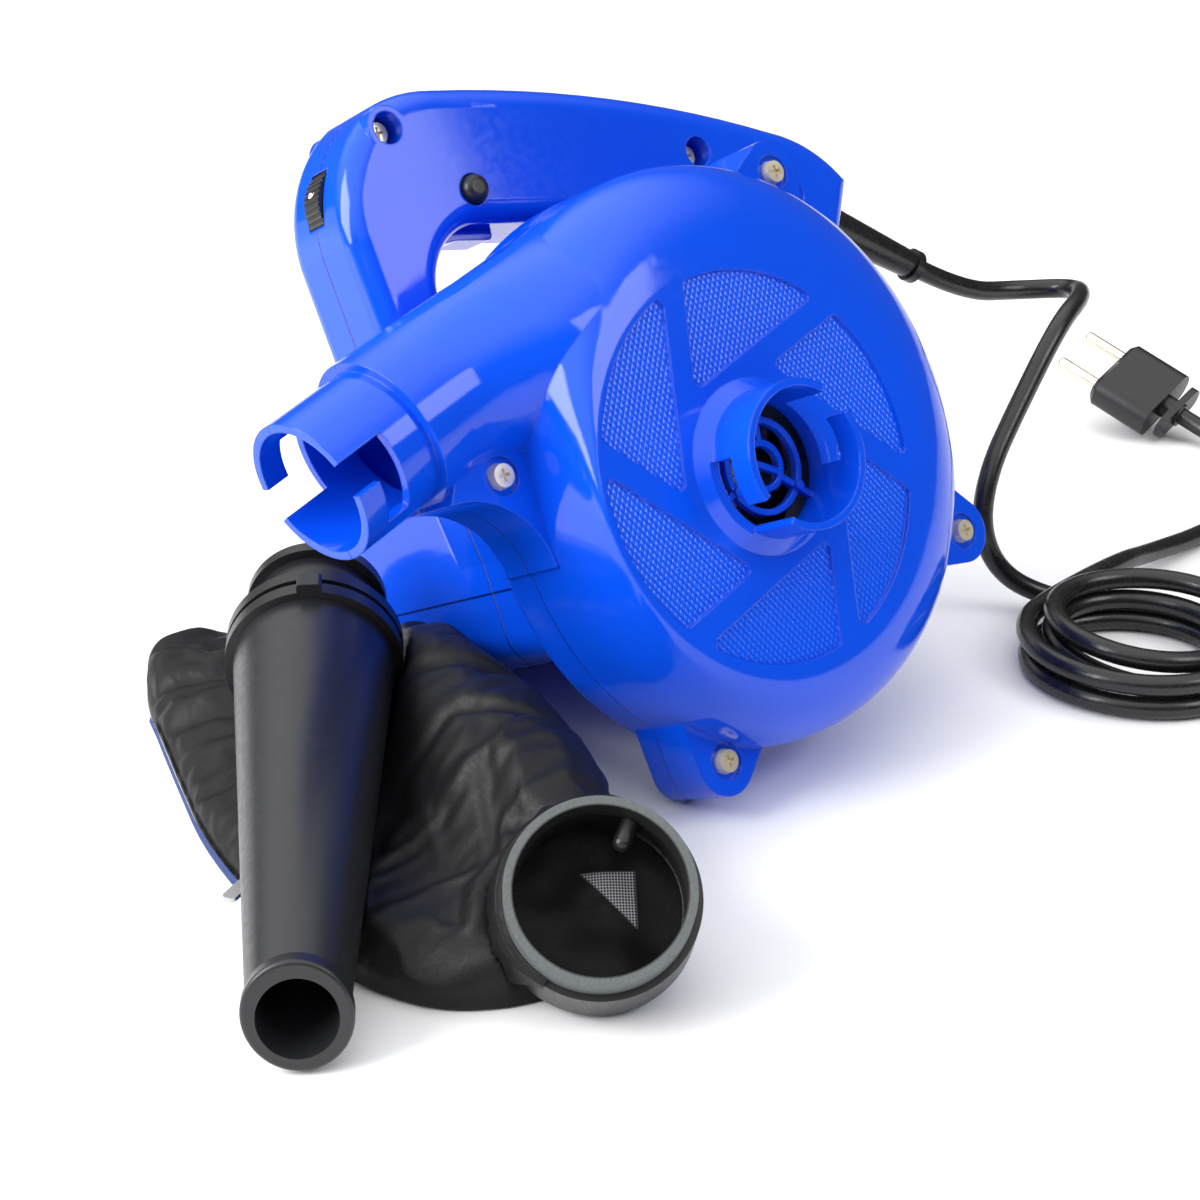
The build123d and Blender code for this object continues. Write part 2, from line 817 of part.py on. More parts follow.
with BuildPart() as motor_screws:
    add(screws(motor_screw_spots, screw_seat, motor_screw_length, -1))

# Strain relief moulded round the cord, with its flange inside the handle's tail
with BuildPart() as strain_relief:
    with BuildSketch(relief_plane(0)):
        Circle(relief_root_radius)
    with BuildSketch(relief_plane(relief_length)):
        Circle(relief_tip_radius)
    loft()
    add(disc(relief_plane(relief_length - 3), relief_tip_radius + 1.2, 3))
    add(disc(relief_plane(-5), relief_root_radius, 5))

# Leads from the cord to the switch and from the switch down the front post to the field
lead_routes = (
    (handle_parting - 3, ((112.6, 78.2), (100, 87.5), (66, 85), (30, 104), (switch_right + 0.8, 114))),
    (handle_parting - 11, ((switch_left - 0.8, 112), (-50, 100), (-57, 74), (-50, 45), (-22.6, 22.6))),
)
with BuildPart() as inner_leads:
    for depth, route in lead_routes:
        with BuildLine(face_plane(depth)) as lead_line:
            FilletPolyline(*route, radius=6)
        with BuildSketch(Plane(origin=lead_line.line @ 0, z_dir=lead_line.line % 0)):
            Circle(lead_radius)
        sweep()

# Rest pose: leaned back until the lowest lug and the heel of the motor housing touch the floor
lug_low = from_case(*lug_spots[2])[1] - lug_radius
heel_y = motor_end - heel_round
heel_z = motor_bottom + heel_round
heel_reach = math.dist((lug_back, lug_low), (heel_y, heel_z))
lean = math.degrees(math.atan2(heel_z - lug_low, heel_y - lug_back) - math.asin(heel_round / heel_reach))
lift = lug_back * math.sin(math.radians(lean)) - lug_low * math.cos(math.radians(lean))
rest_pose = Location((0, 0, lift), (-lean, 0, 0))
print("lean", round(lean, 3), "lift", round(lift, 3))

# Nozzle: slant-cut rubber cone in a bayonet collar, lying on the bag
collar_point = Vector(*nozzle_collar_spot)
mouth_point = Vector(*nozzle_mouth)
nozzle_dir = (mouth_point - collar_point).normalized()
nozzle_length = (mouth_point - collar_point).length
nozzle_side = Vector(0, 0, 1).cross(nozzle_dir).normalized()


def nozzle_plane(distance):
    """Plane across the nozzle, this far from its collar towards its mouth."""
    return Plane(origin=collar_point + nozzle_dir * distance, x_dir=nozzle_side, z_dir=nozzle_dir)


def nozzle_cone(inset):
    """Rubber cone, longer than the nozzle so that its mouth can be cut at a slant."""
    spare = 12
    drop = (nozzle_root_radius - nozzle_mouth_radius) / nozzle_length
    with BuildPart() as cone:
        with BuildSketch(nozzle_plane(-1 if inset else 0)):
            Circle(nozzle_root_radius - inset)
        with BuildSketch(nozzle_plane(nozzle_length + spare)):
            Circle(nozzle_mouth_radius - inset - drop * spare)
        loft()
    return cone.part


mouth_plane = nozzle_plane(nozzle_length).rotated((-mouth_slant, 0, 0))
with BuildPart() as nozzle_rubber:
    add(nozzle_cone(0))
    split(bisect_by=mouth_plane, keep=Keep.BOTTOM)
    with BuildSketch(mouth_plane.offset(-2.5)):
        stretch = 1 / math.cos(math.radians(mouth_slant))
        Ellipse(nozzle_mouth_radius + nozzle_lip, (nozzle_mouth_radius + nozzle_lip) * stretch)
    extrude(amount=5)
    fillet(nozzle_rubber.faces().sort_by(Axis(mouth_point, nozzle_dir))[-1].edges(), nozzle_lip)
    add(nozzle_cone(nozzle_wall), mode=Mode.SUBTRACT)

neck_bore = neck_radius - nozzle_wall
with BuildPart() as nozzle_collar:
    add(disc(nozzle_plane(-collar_length), collar_radius, collar_length, neck_bore))
    add(
        disc(nozzle_plane(-collar_length / 2 - 1), collar_radius + 1, 2, collar_radius - 2),
        mode=Mode.SUBTRACT,
    )
    add(disc(nozzle_plane(-collar_length - neck_length), neck_radius, neck_length, neck_bore))
    with BuildSketch(nozzle_plane(-collar_length - neck_length)):
        Circle(flare_radius)
        Circle(neck_bore, mode=Mode.SUBTRACT)
    extrude(amount=4)
    with BuildSketch(nozzle_plane(-collar_length / 2)):
        with Locations((0, collar_radius)):
            RectangleRounded(7, 5, 1)
    extrude(amount=collar_length / 2)

# Dust bag: cloth lying flat under the nozzle and puffed beside it, with its locking ring
ring_dir = Vector(
    math.cos(math.radians(bag_ring_tilt)) * math.cos(math.radians(bag_ring_turn)),
    math.cos(math.radians(bag_ring_tilt)) * math.sin(math.radians(bag_ring_turn)),
    math.sin(math.radians(bag_ring_tilt)),
)


def ring_plane(distance):
    """Plane across the bag's ring, this far in front of its rim."""
    return Plane(origin=Vector(*bag_ring_spot) + ring_dir * distance, z_dir=ring_dir)


with BuildPart() as bag_ring:
    add(disc(ring_plane(-bag_ring_height), bag_ring_radius, bag_ring_height, bag_ring_radius - bag_ring_wall))

collar_back = -bag_ring_height - bag_collar_length
with BuildPart() as bag_collar:
    add(disc(ring_plane(collar_back), bag_collar_radius, bag_collar_length, bag_ring_radius - bag_ring_wall))

bag_outline = (
    (-141, -33), (-153, -10), (-152, 20), (-150, 47), (-134, 95), (-106, 166),
    (-88, 174), (-62, 150), (-55, 84), (-60, 20), (-76, -22), (-104, -38),
)
hump_spots = (
    (-103, -37, 16, 22), (-97, -10, 28, 46), (-91, 10, 26, 46), (-82.5, 37, 15.5, 45), (-62.5, 66, 10, 40),
)
hump_turns = (66, 78, 65, 68, 78)
with BuildPart() as bag_cloth:
    with BuildSketch(Plane.XY.offset(loose_gap)) as flat:
        with BuildLine():
            Polyline(*bag_outline, close=True)
        make_face()
        fillet(flat.vertices(), 10)
    extrude(amount=bag_flat - loose_gap)
    fillet(bag_cloth.faces().sort_by(Axis.Z)[-1].edges(), 3)
    for (x, y, half_width, height), turn in zip(hump_spots, hump_turns):
        facing = Vector(*polar(1, turn), 0)
        across = facing.cross(Vector(0, 0, 1))
        with BuildSketch(Plane(origin=(x, y, height / 2 + 3 * loose_gap), x_dir=across, z_dir=facing)):
            Ellipse(half_width, height / 2)
    loft()
    add(disc(ring_plane(collar_back - bag_tuck), bag_collar_radius - 3.2, bag_tuck))
    add(disc(ring_plane(collar_back), bag_collar_radius + loose_gap, bag_collar_length), mode=Mode.SUBTRACT)

zip_edge = ((-148, 22), (-145.5, 46), (-130.5, 94), (-103, 162))
with BuildPart() as zip_tape:
    with BuildSketch(Plane.XY.offset(bag_flat)):
        with BuildLine() as tape_line:
            Polyline(*zip_edge)
        trace(line_width=8)
    extrude(amount=1)

# Zip slider on the tape, its tab hanging out over the edge of the bag
with BuildPart() as zip_pull:
    with BuildSketch(Plane.XY.offset(bag_flat + 1)):
        with Locations(Location((-146, 40, 0), 80)):
            RectangleRounded(10, 6, 1.5)
    extrude(amount=2.2)
    with BuildSketch(Plane.XY.offset(bag_flat + 1)):
        with Locations(Location((-153, 36.5, 0), 24)):
            RectangleRounded(17, 4, 1.5)
    extrude(amount=1.2)

# Mains cord: from the strain relief round a tight fold down to a hank, then to a two-pin plug
first_run = 24
fold_route = ((208, 79.5, 86.5), (220, 64, 88.5), (206, 49, 92.5), (182, 40.5, 89),
              (158, 36.5, 66), (140, 32.5, 49), (133, 28.5, 31), (139.5, 23, 14.5), (154, 13, 5.2),
              (169, -7, 4.2))
hank_spot = (142, -32)
hank_radius = 40.5
hank_bore = 24.5
hank_height = 22
plug_face = Vector(317, 113, 21.4)
plug_dir = Vector(-0.1704, 0.9246, 0.34).normalized()
plug_side = Vector(-0.9351, -0.0431, -0.3517)
plug_length = 26
plug_width = 34
plug_thickness = 14
guard_length = 8
pin_pitch = 19
pin_reach = 19
prong_radius = 2.4


def plug_plane(distance):
    """Plane across the plug, this far in front of its pin face."""
    return Plane(origin=plug_face + plug_dir * distance, x_dir=plug_side, z_dir=plug_dir)


def cord_tube(route):
    """Round cord through the points of a route, with an arc at every turn."""
    points = [Vector(*point) for point in route]
    radii = []
    for before, here, after in zip(points, points[1:], points[2:]):
        half_turn = math.radians((here - before).get_angle(after - here) / 2)
        shorter = min((here - before).length, (after - here).length)
        radii.append(0.45 * shorter / math.tan(half_turn))
    with BuildPart() as tube:
        with BuildLine() as line:
            FilletPolyline(*points, radius=radii)
        with BuildSketch(Plane(origin=line.line @ 0, z_dir=line.line % 0)):
            Circle(cord_radius)
        sweep()
    length = sum(edge.length for edge in line.edges())
    print("bends", [round(radius) for radius in radii], "length", round(length))
    print("volume ratio", round(tube.part.volume / (math.pi * cord_radius**2 * length), 4))
    return tube.part


relief_tip = rest_pose * Location(relief_plane(relief_length).origin)
first_bend = rest_pose * Location(relief_plane(relief_length + first_run).origin)
with BuildPart() as cord_upper:
    add(cord_tube((relief_tip.position, first_bend.position, *fold_route)))

plug_exit = plug_face - plug_dir * (plug_length + guard_length)
cord_floor = cord_radius + 0.2
floor_run = (plug_exit.Z - cord_floor) / plug_dir.Z
with BuildPart() as cord_tail:
    add(cord_tube((
        plug_exit,
        plug_exit - plug_dir * floor_run,
        (316, 38, cord_floor),
        (284, 19, cord_floor),
        (244, 13, cord_floor),
        (208, 12.5, 6.2),
        (181, 7, 12.5),
        (152, 3.2, 12.3),
    )))

with BuildPart() as cord_hank:
    with BuildSketch(Plane.XY.offset(0.2)):
        with Locations(hank_spot):
            Circle(hank_radius)
            Circle(hank_bore, mode=Mode.SUBTRACT)
    extrude(amount=hank_height)
    fillet(cord_hank.edges().filter_by(GeomType.CIRCLE), 2 * cord_radius)
    add(cord_upper.part, mode=Mode.SUBTRACT)
    add(cord_tail.part, mode=Mode.SUBTRACT)

with BuildPart() as plug_body:
    with BuildSketch(plug_plane(-plug_length)):
        RectangleRounded(plug_width, plug_thickness, plug_thickness / 2 - 0.5)
    extrude(amount=plug_length)
    chamfer(plug_body.faces().sort_by(Axis(plug_face, plug_dir))[-1].edges(), 2)
    with BuildSketch(plug_plane(-plug_length - guard_length)):
        Circle(cord_radius + 1.4)
    extrude(amount=guard_length)
    with BuildSketch(plug_plane(-plug_length - guard_length + 1)):
        RectangleRounded(plug_width - 6, plug_thickness - 4, plug_thickness / 2 - 2.5)
    extrude(amount=3)

with BuildPart() as plug_pins:
    for side in (1, -1):
        with BuildSketch(plug_plane(0)):
            with Locations((side * pin_pitch / 2, 0)):
                Circle(prong_radius)
        extrude(amount=pin_reach)
    fillet(plug_pins.faces().sort_by(Axis(plug_face, plug_dir))[-2:].edges(), 1.5)

# Every piece by name: those of the leaned tool, the loose ones, and the cord
tool_pieces = {
    "front_cover": front_cover,
    "middle_housing": middle_housing,
    "rear_housing": rear_housing,
    "motor_shaft": motor_shaft,
    "impeller": impeller,
    "impeller_nut": impeller_nut,
    "armature_core": armature_core,
    "armature_windings": armature_windings,
    "commutator": commutator,
    "front_bearing": front_bearing,
    "rear_bearing": rear_bearing,
    "field_core": field_core,
    "field_coils": field_coils,
    "brush_holders": brush_holders,
    "carbon_brushes": carbon_brushes,
    "brush_springs": brush_springs,
    "trigger": trigger,
    "switch_body": switch_body,
    "lock_button": lock_button,
    "speed_dial": speed_dial,
    "dial_control": dial_control,
    "control_board": control_board,
    "capacitor": capacitor,
    "case_screws": case_screws,
    "handle_screws": handle_screws,
    "motor_screws": motor_screws,
    "strain_relief": strain_relief,
    "inner_leads": inner_leads,
}
loose_pieces = {
    "nozzle_rubber": nozzle_rubber,
    "nozzle_collar": nozzle_collar,
    "bag_ring": bag_ring,
    "bag_collar": bag_collar,
    "bag_cloth": bag_cloth,
    "zip_tape": zip_tape,
    "zip_pull": zip_pull,
}
cord_pieces = {
    "cord_upper": cord_upper,
    "cord_hank": cord_hank,
    "cord_tail": cord_tail,
    "plug_body": plug_body,
    "plug_pins": plug_pins,
}
placed = {name: rest_pose * piece.part for name, piece in tool_pieces.items()}
placed.update({name: piece.part for name, piece in loose_pieces.items()})
boxes = [piece.bounding_box() for piece in placed.values()]
low = [min(getattr(box.min, axis) for box in boxes) for axis in "XYZ"]
high = [max(getattr(box.max, axis) for box in boxes) for axis in "XYZ"]
shift = Location((-(low[0] + high[0]) / 2, -(low[1] + high[1]) / 2, -low[2]))
placed.update({name: piece.part for name, piece in cord_pieces.items()})
print("shift", [round(value, 4) for value in shift.position])
print("size", [round(top - bottom, 2) for bottom, top in zip(low, high)])

os.makedirs("parts", exist_ok=True)
for name, piece in placed.items():
    piece = shift * piece
    piece.label = name
    export_step(piece, f"parts/{name}.step")
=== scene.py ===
import bmesh
import bpy
import json
import math
from mathutils import Matrix, Vector, noise


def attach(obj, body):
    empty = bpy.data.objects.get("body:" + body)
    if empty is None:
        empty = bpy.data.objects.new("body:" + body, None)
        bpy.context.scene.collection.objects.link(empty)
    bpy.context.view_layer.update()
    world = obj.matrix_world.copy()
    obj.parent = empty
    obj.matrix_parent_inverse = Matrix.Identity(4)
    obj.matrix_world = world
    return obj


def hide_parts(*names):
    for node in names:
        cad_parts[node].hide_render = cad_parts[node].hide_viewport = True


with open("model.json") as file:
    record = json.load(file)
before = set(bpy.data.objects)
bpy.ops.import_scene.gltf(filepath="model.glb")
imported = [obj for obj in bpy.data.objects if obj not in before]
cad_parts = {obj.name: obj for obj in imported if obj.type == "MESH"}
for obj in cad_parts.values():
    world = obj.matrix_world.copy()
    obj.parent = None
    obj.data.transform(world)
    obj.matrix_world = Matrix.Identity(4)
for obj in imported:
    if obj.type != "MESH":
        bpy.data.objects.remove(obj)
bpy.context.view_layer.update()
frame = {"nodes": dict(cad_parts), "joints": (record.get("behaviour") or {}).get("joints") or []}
nodes = frame["nodes"]
scene = bpy.context.scene

# Leaned tool: the blower stands tipped back on the heel of its motor box, so it has a frame of its own.
# Across is to the right, depth runs from the intake face into the motor and rise points up along the face.
# Loose pieces are placed on the floor instead, from the spot under the front of the motor.
spin = next(joint for joint in frame["joints"] if joint["name"] == "rotor_spin")
depth = Vector(spin["axis"]).normalized()
across = Vector((1, 0, 0))
rise = across.cross(depth)
joint_behind_face = 0.060
motor_front = Vector(spin["pos_m"]) - joint_behind_face * depth
under_motor = motor_front - Vector((0, 0, motor_front.z))


def tool(x, y, z):
    """Point of the tool in its own frame, mm, as a point of the row frame, m."""
    return motor_front + (across * x + depth * y + rise * z) / 1000


def laid(point):
    """Point of a loose piece on the floor, mm, as a point of the row frame, m."""
    return Vector(point) / 1000 + under_motor


# Camera: a 69 mm lens on a 36 mm sensor, near the left front of the tool and above it.
# It looks down at 25 degrees.
camera_way = Vector((0.6002, 0.6791, -0.4226))
camera = bpy.data.objects.new("camera", bpy.data.cameras.new("camera"))
camera.data.lens = 69
camera.data.sensor_width = 36
camera.data.clip_start = 0.01
camera.location = tool(-425.7, -475.0, 22.5)
camera.rotation_mode = "QUATERNION"
camera.rotation_quaternion = camera_way.to_track_quat("-Z", "Y")
scene.collection.objects.link(camera)
scene.camera = camera

# Studio: pale matt paper under a broad white ceiling that dims towards the horizon.
# One soft box stands to the right front and mirrors in the handle, a larger one lights nozzle and bag.
floor_reach = 40
ceiling_way = (-0.25, 0.2, 0.947)
ceiling_light = 1.75
horizon_light = 0.1
floor_corners = [(floor_reach * x, floor_reach * y, 0) for x, y in ((-1, -1), (1, -1), (1, 1), (-1, 1))]
floor_mesh = bpy.data.meshes.new("floor")
floor_mesh.from_pydata(floor_corners, [], [(0, 1, 2, 3)])
floor = bpy.data.objects.new("floor", floor_mesh)
scene.collection.objects.link(floor)
paper = bpy.data.materials.new("floor_paper")
paper.use_nodes = True
paper_shader = paper.node_tree.nodes["Principled BSDF"]
paper_shader.inputs["Base Color"].default_value = (0.9, 0.9, 0.9, 1)
paper_shader.inputs["Roughness"].default_value = 0.9
floor_mesh.materials.append(paper)


def ramp(tree, value, low, high, start, end):
    """Smooth step of a value from start at low to end at high."""
    node = tree.nodes.new("ShaderNodeMapRange")
    node.interpolation_type = "SMOOTHSTEP"
    for label, number in (("From Min", low), ("From Max", high), ("To Min", start), ("To Max", end)):
        node.inputs[label].default_value = number
    tree.links.new(value, node.inputs["Value"])
    return node.outputs["Result"]


def vector_maths(tree, operation, vector, fixed=None):
    """Vector maths node on a socket and, where it needs one, a fixed vector."""
    node = tree.nodes.new("ShaderNodeVectorMath")
    node.operation = operation
    tree.links.new(vector, node.inputs[0])
    if fixed is not None:
        node.inputs[1].default_value = fixed
    return node


world = bpy.data.worlds.new("studio")
world.use_nodes = True
sky = world.node_tree
gaze = sky.nodes.new("ShaderNodeTexCoord")
overhead = vector_maths(sky, "DOT_PRODUCT", gaze.outputs["Generated"], ceiling_way).outputs["Value"]
sky_light = ramp(sky, overhead, 0.3, 0.85, horizon_light, ceiling_light)
sky.nodes["Background"].inputs["Color"].default_value = (1, 1, 1, 1)
sky.links.new(sky_light, sky.nodes["Background"].inputs["Strength"])
scene.world = world
scene.view_settings.view_transform = "Standard"


def soft_box(name, place, aim, width, height, power):
    """Rectangular soft box at a place, turned to face an aim point."""
    light = bpy.data.lights.new(name, "AREA")
    light.shape = "RECTANGLE"
    light.size = width
    light.size_y = height
    light.energy = power
    lamp = bpy.data.objects.new(name, light)
    lamp.location = place
    lamp.rotation_mode = "QUATERNION"
    lamp.rotation_quaternion = (Vector(aim) - Vector(place)).to_track_quat("-Z", "Y")
    scene.collection.objects.link(lamp)


soft_box("front_box", (0.57, -1.14, 1.06), (0, 0, 0.15), 0.85, 0.62, 8)
soft_box("left_box", (-1.2, 0.35, 0.75), (-0.1, 0, 0.1), 0.9, 0.9, 26)

# Blue case: front cover, middle and rear housings and trigger, moulded in gloss ABS and screwed together.
# The cover's six sunk panels carry a diamond grid of dimples, their tops tinted a lighter blue as a painted
# highlight.
# Mouldings meet in fine dark joints.
# Depths, rises and reaches from the motor's axis are in mm of the tool's frame.
case_blue = (0.002, 0.068, 0.69)
case_roughness = 0.09
case_ior = 1.46
joint_shadow = (0.001, 0.01, 0.13)
# Lighter blue painted on the dimples' tops: a painted highlight.
dimple_highlight_blue = (0.02, 0.13, 0.86)
edge_softness = 0.0007
cover_joint = 38.0
handle_joint = 78.0
joint_half = 0.4
box_seam_rise = -13.0
box_seam_half = 0.45
box_front = 52.4
box_seam_right_end = -19.0
panel_depth = 1.0
panel_depth_half = 0.6
panel_inner_reach = 28.0
panel_outer_reach = 55.2
dimple_pitch = 1.6
dimple_rows = (32, 148)
dimple_relief = 0.0004


def new_group(name, inputs, outputs):
    """Empty shader group of float sockets: inputs with their values at rest, and outputs."""
    group = bpy.data.node_groups.new(name, "ShaderNodeTree")
    for label, value in inputs.items():
        socket = group.interface.new_socket(label, in_out="INPUT", socket_type="NodeSocketFloat")
        socket.default_value = value
    for label in outputs:
        group.interface.new_socket(label, in_out="OUTPUT", socket_type="NodeSocketFloat")
    return group, group.nodes.new("NodeGroupInput"), group.nodes.new("NodeGroupOutput")


def use_group(tree, group, **values):
    """Instance of a shader group with its inputs set or linked."""
    node = tree.nodes.new("ShaderNodeGroup")
    node.node_tree = group
    for label, value in values.items():
        if isinstance(value, (int, float)):
            node.inputs[label].default_value = value
        else:
            tree.links.new(value, node.inputs[label])
    return node


def maths(tree, operation, *values):
    """Math node on sockets or numbers, returning its output."""
    node = tree.nodes.new("ShaderNodeMath")
    node.operation = operation
    for socket, value in zip(node.inputs, values):
        if isinstance(value, (int, float)):
            socket.default_value = value
        else:
            tree.links.new(value, socket)
    return node.outputs[0]


# The point that is shaded, in mm of the tool's own frame.
space_group, _, space_out = new_group("tool_space", {}, ("X", "Depth", "Rise"))
shaded = space_group.nodes.new("ShaderNodeTexCoord")
from_front = vector_maths(space_group, "SUBTRACT", shaded.outputs["Object"], motor_front).outputs["Vector"]
for label, direction in (("X", across), ("Depth", depth), ("Rise", rise)):
    measured = vector_maths(space_group, "DOT_PRODUCT", from_front, direction * 1000).outputs["Value"]
    space_group.links.new(measured, space_out.inputs[label])

# Fine grain and a broad drift of the same surface.
mottle_group, mottle_in, mottle_out = new_group("mottle", {"Scale": 300.0}, ("Height", "Broad"))
shaded = mottle_group.nodes.new("ShaderNodeTexCoord")
for label, factor, detail in (("Height", 1.0, 4.0), ("Broad", 0.12, 2.0)):
    speckle = mottle_group.nodes.new("ShaderNodeTexNoise")
    speckle.inputs["Detail"].default_value = detail
    coarse = maths(mottle_group, "MULTIPLY", mottle_in.outputs["Scale"], factor)
    mottle_group.links.new(shaded.outputs["Object"], speckle.inputs["Vector"])
    mottle_group.links.new(coarse, speckle.inputs["Scale"])
    mottle_group.links.new(speckle.outputs["Fac"], mottle_out.inputs[label])

# A thin band: 1 where a value is near a centre and 0 away from it.
groove_group, groove_in, groove_out = new_group("groove", {"Value": 0.0, "Centre": 0.0, "Half": 0.3}, ("Mask",))
apart = maths(groove_group, "SUBTRACT", groove_in.outputs["Value"], groove_in.outputs["Centre"])
share_of_half = maths(groove_group, "DIVIDE", maths(groove_group, "ABSOLUTE", apart), groove_in.outputs["Half"])
groove_group.links.new(ramp(groove_group, share_of_half, 0.5, 1.0, 1.0, 0.0), groove_out.inputs["Mask"])


def emboss(made, height, strength, distance):
    """Raises a height on a surface, over the relief that it has."""
    tree = made.node_tree
    normal = tree.nodes["Principled BSDF"].inputs["Normal"]
    relief = tree.nodes.new("ShaderNodeBump")
    relief.inputs["Strength"].default_value = strength
    relief.inputs["Distance"].default_value = distance
    tree.links.new(height, relief.inputs["Height"])
    if normal.is_linked:
        tree.links.new(normal.links[0].from_socket, relief.inputs["Normal"])
    tree.links.new(relief.outputs["Normal"], normal)


def tint(made, colour, mask):
    """Lays a colour on a surface where a mask is 1."""
    tree = made.node_tree
    base = tree.nodes["Principled BSDF"].inputs["Base Color"]
    layer = tree.nodes.new("ShaderNodeMix")
    layer.data_type = "RGBA"
    layer.inputs["B"].default_value = (*colour, 1)
    tree.links.new(base.links[0].from_socket, layer.inputs["A"])
    tree.links.new(mask, layer.inputs["Factor"])
    tree.links.new(layer.outputs["Result"], base)


def surface(name, colour, rough, metal=0.0, grain=300.0, bump=0.02, vary=0.1, spread=0.05):
    """Mottled surface: colour and roughness drift a little, with a fine grain in the normal."""
    made = bpy.data.materials.new(name)
    made.use_nodes = True
    tree = made.node_tree
    shader = tree.nodes["Principled BSDF"]
    shader.inputs["Metallic"].default_value = metal
    mottle = use_group(tree, mottle_group, Scale=grain)
    drift = tree.nodes.new("ShaderNodeMix")
    drift.data_type = "RGBA"
    drift.inputs["A"].default_value = (*[part * (1 - vary) for part in colour], 1)
    drift.inputs["B"].default_value = (*[min(1.0, part * (1 + vary)) for part in colour], 1)
    tree.links.new(mottle.outputs["Broad"], drift.inputs["Factor"])
    tree.links.new(drift.outputs["Result"], shader.inputs["Base Color"])
    roughness = ramp(tree, mottle.outputs["Height"], 0.3, 0.7, rough - spread, rough + spread)
    tree.links.new(roughness, shader.inputs["Roughness"])
    emboss(made, mottle.outputs["Height"], bump, 0.001)
    return made


def shell(name, joint_depth=None, panels=False):
    """Gloss blue ABS with softened edges and, where asked for, a joint at a depth and dimpled panels with a
    painted highlight.
    """
    made = surface(name, case_blue, case_roughness, grain=420, bump=0.005, vary=0.05, spread=0.02)
    tree = made.node_tree
    shader = tree.nodes["Principled BSDF"]
    shader.inputs["IOR"].default_value = case_ior
    soft_edge = tree.nodes.new("ShaderNodeBevel")
    soft_edge.samples = 4
    soft_edge.inputs["Radius"].default_value = edge_softness
    grain = shader.inputs["Normal"].links[0].from_node
    tree.links.new(soft_edge.outputs["Normal"], grain.inputs["Normal"])
    at = use_group(tree, space_group)
    seam = use_group(tree, groove_group, Value=at.outputs["Rise"], Centre=box_seam_rise, Half=box_seam_half)
    on_box = ramp(tree, at.outputs["Depth"], box_front, box_front + 0.4, 0.0, 1.0)
    on_left = ramp(tree, at.outputs["X"], box_seam_right_end - 1.0, box_seam_right_end, 1.0, 0.0)
    lines = maths(tree, "MULTIPLY", seam.outputs["Mask"], maths(tree, "MULTIPLY", on_box, on_left))
    if joint_depth is not None:
        joint = use_group(tree, groove_group, Value=at.outputs["Depth"], Centre=joint_depth, Half=joint_half)
        lines = maths(tree, "MAXIMUM", joint.outputs["Mask"], lines)
    tint(made, joint_shadow, lines)
    if panels:
        waves = []
        for turn in dimple_rows:
            sideways = math.cos(math.radians(turn)) * math.pi / dimple_pitch
            upwards = math.sin(math.radians(turn)) * math.pi / dimple_pitch
            run = maths(tree, "ADD",
                        maths(tree, "MULTIPLY", at.outputs["X"], sideways),
                        maths(tree, "MULTIPLY", at.outputs["Rise"], upwards))
            waves.append(maths(tree, "ABSOLUTE", maths(tree, "SINE", run)))
        dimple = maths(tree, "MULTIPLY", *waves)
        sunk = use_group(tree, groove_group,
                         Value=at.outputs["Depth"], Centre=panel_depth, Half=panel_depth_half)
        reach = maths(tree, "SQRT", maths(tree, "ADD",
                                          maths(tree, "POWER", at.outputs["X"], 2.0),
                                          maths(tree, "POWER", at.outputs["Rise"], 2.0)))
        band = maths(tree, "MULTIPLY",
                     ramp(tree, reach, panel_inner_reach, panel_inner_reach + 1.0, 0.0, 1.0),
                     ramp(tree, reach, panel_outer_reach - 0.8, panel_outer_reach, 1.0, 0.0))
        inside = maths(tree, "MULTIPLY", sunk.outputs["Mask"], band)
        # Painted highlight: the raised dimples are tinted a lighter blue, as light catching their tops.
        tint(made, dimple_highlight_blue, maths(tree, "MULTIPLY", ramp(tree, dimple, 0.35, 0.8, 0.0, 0.9), inside))
        emboss(made, maths(tree, "MULTIPLY", dimple, inside), 0.3, dimple_relief)
    return made


def dress(name, made):
    """Gives a CAD node one material."""
    mesh = nodes[name].data
    mesh.materials.clear()
    mesh.materials.append(made)


dress("front_cover", shell("blue_cover", cover_joint, panels=True))
dress("middle_housing", shell("blue_middle", handle_joint))
dress("rear_housing", shell("blue_rear", handle_joint))
dress("trigger", shell("blue_trigger"))

# Small black mouldings: lock button and speed dial, which show in the handle, and what is held inside it.
# They are satin black plastic, pushed into pockets of the two handle halves.
black_plastic = surface("black_plastic", (0.009, 0.009, 0.01), 0.36, grain=900, bump=0.03)
for name in ("lock_button", "speed_dial", "switch_body", "dial_control", "capacitor", "brush_holders"):
    dress(name, black_plastic)

# Figure on the dial: a white number printed on the rim of the thumbwheel, turned with it.
# It is a thin raised text on the side that shows in the handle's slot.
dial_axis = tool(-52.4, 78, 104.6)
dial_radius = 0.01303
figure_turn = math.radians(152)
figure_text = bpy.data.curves.new("dial_figure", "FONT")
figure_text.body = "6"
figure_text.size = 0.0042
figure_text.extrude = 0.00004
figure_text.align_x = "CENTER"
figure_text.align_y = "CENTER"
figure_shape = bpy.data.objects.new("dial_figure_text", figure_text)
figure_mesh = bpy.data.meshes.new_from_object(figure_shape)
bpy.data.objects.remove(figure_shape)
dial_figure = bpy.data.objects.new("dial_figure", figure_mesh)
scene.collection.objects.link(dial_figure)
figure_out = across * math.cos(figure_turn) + rise * math.sin(figure_turn)
figure_axes = Matrix((depth.cross(figure_out), -depth, figure_out)).transposed().to_4x4()
dial_figure.matrix_world = Matrix.Translation(dial_axis + figure_out * dial_radius) @ figure_axes
figure_mesh.materials.append(surface("figure_white", (0.8, 0.8, 0.8), 0.5))
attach(dial_figure, "dial")

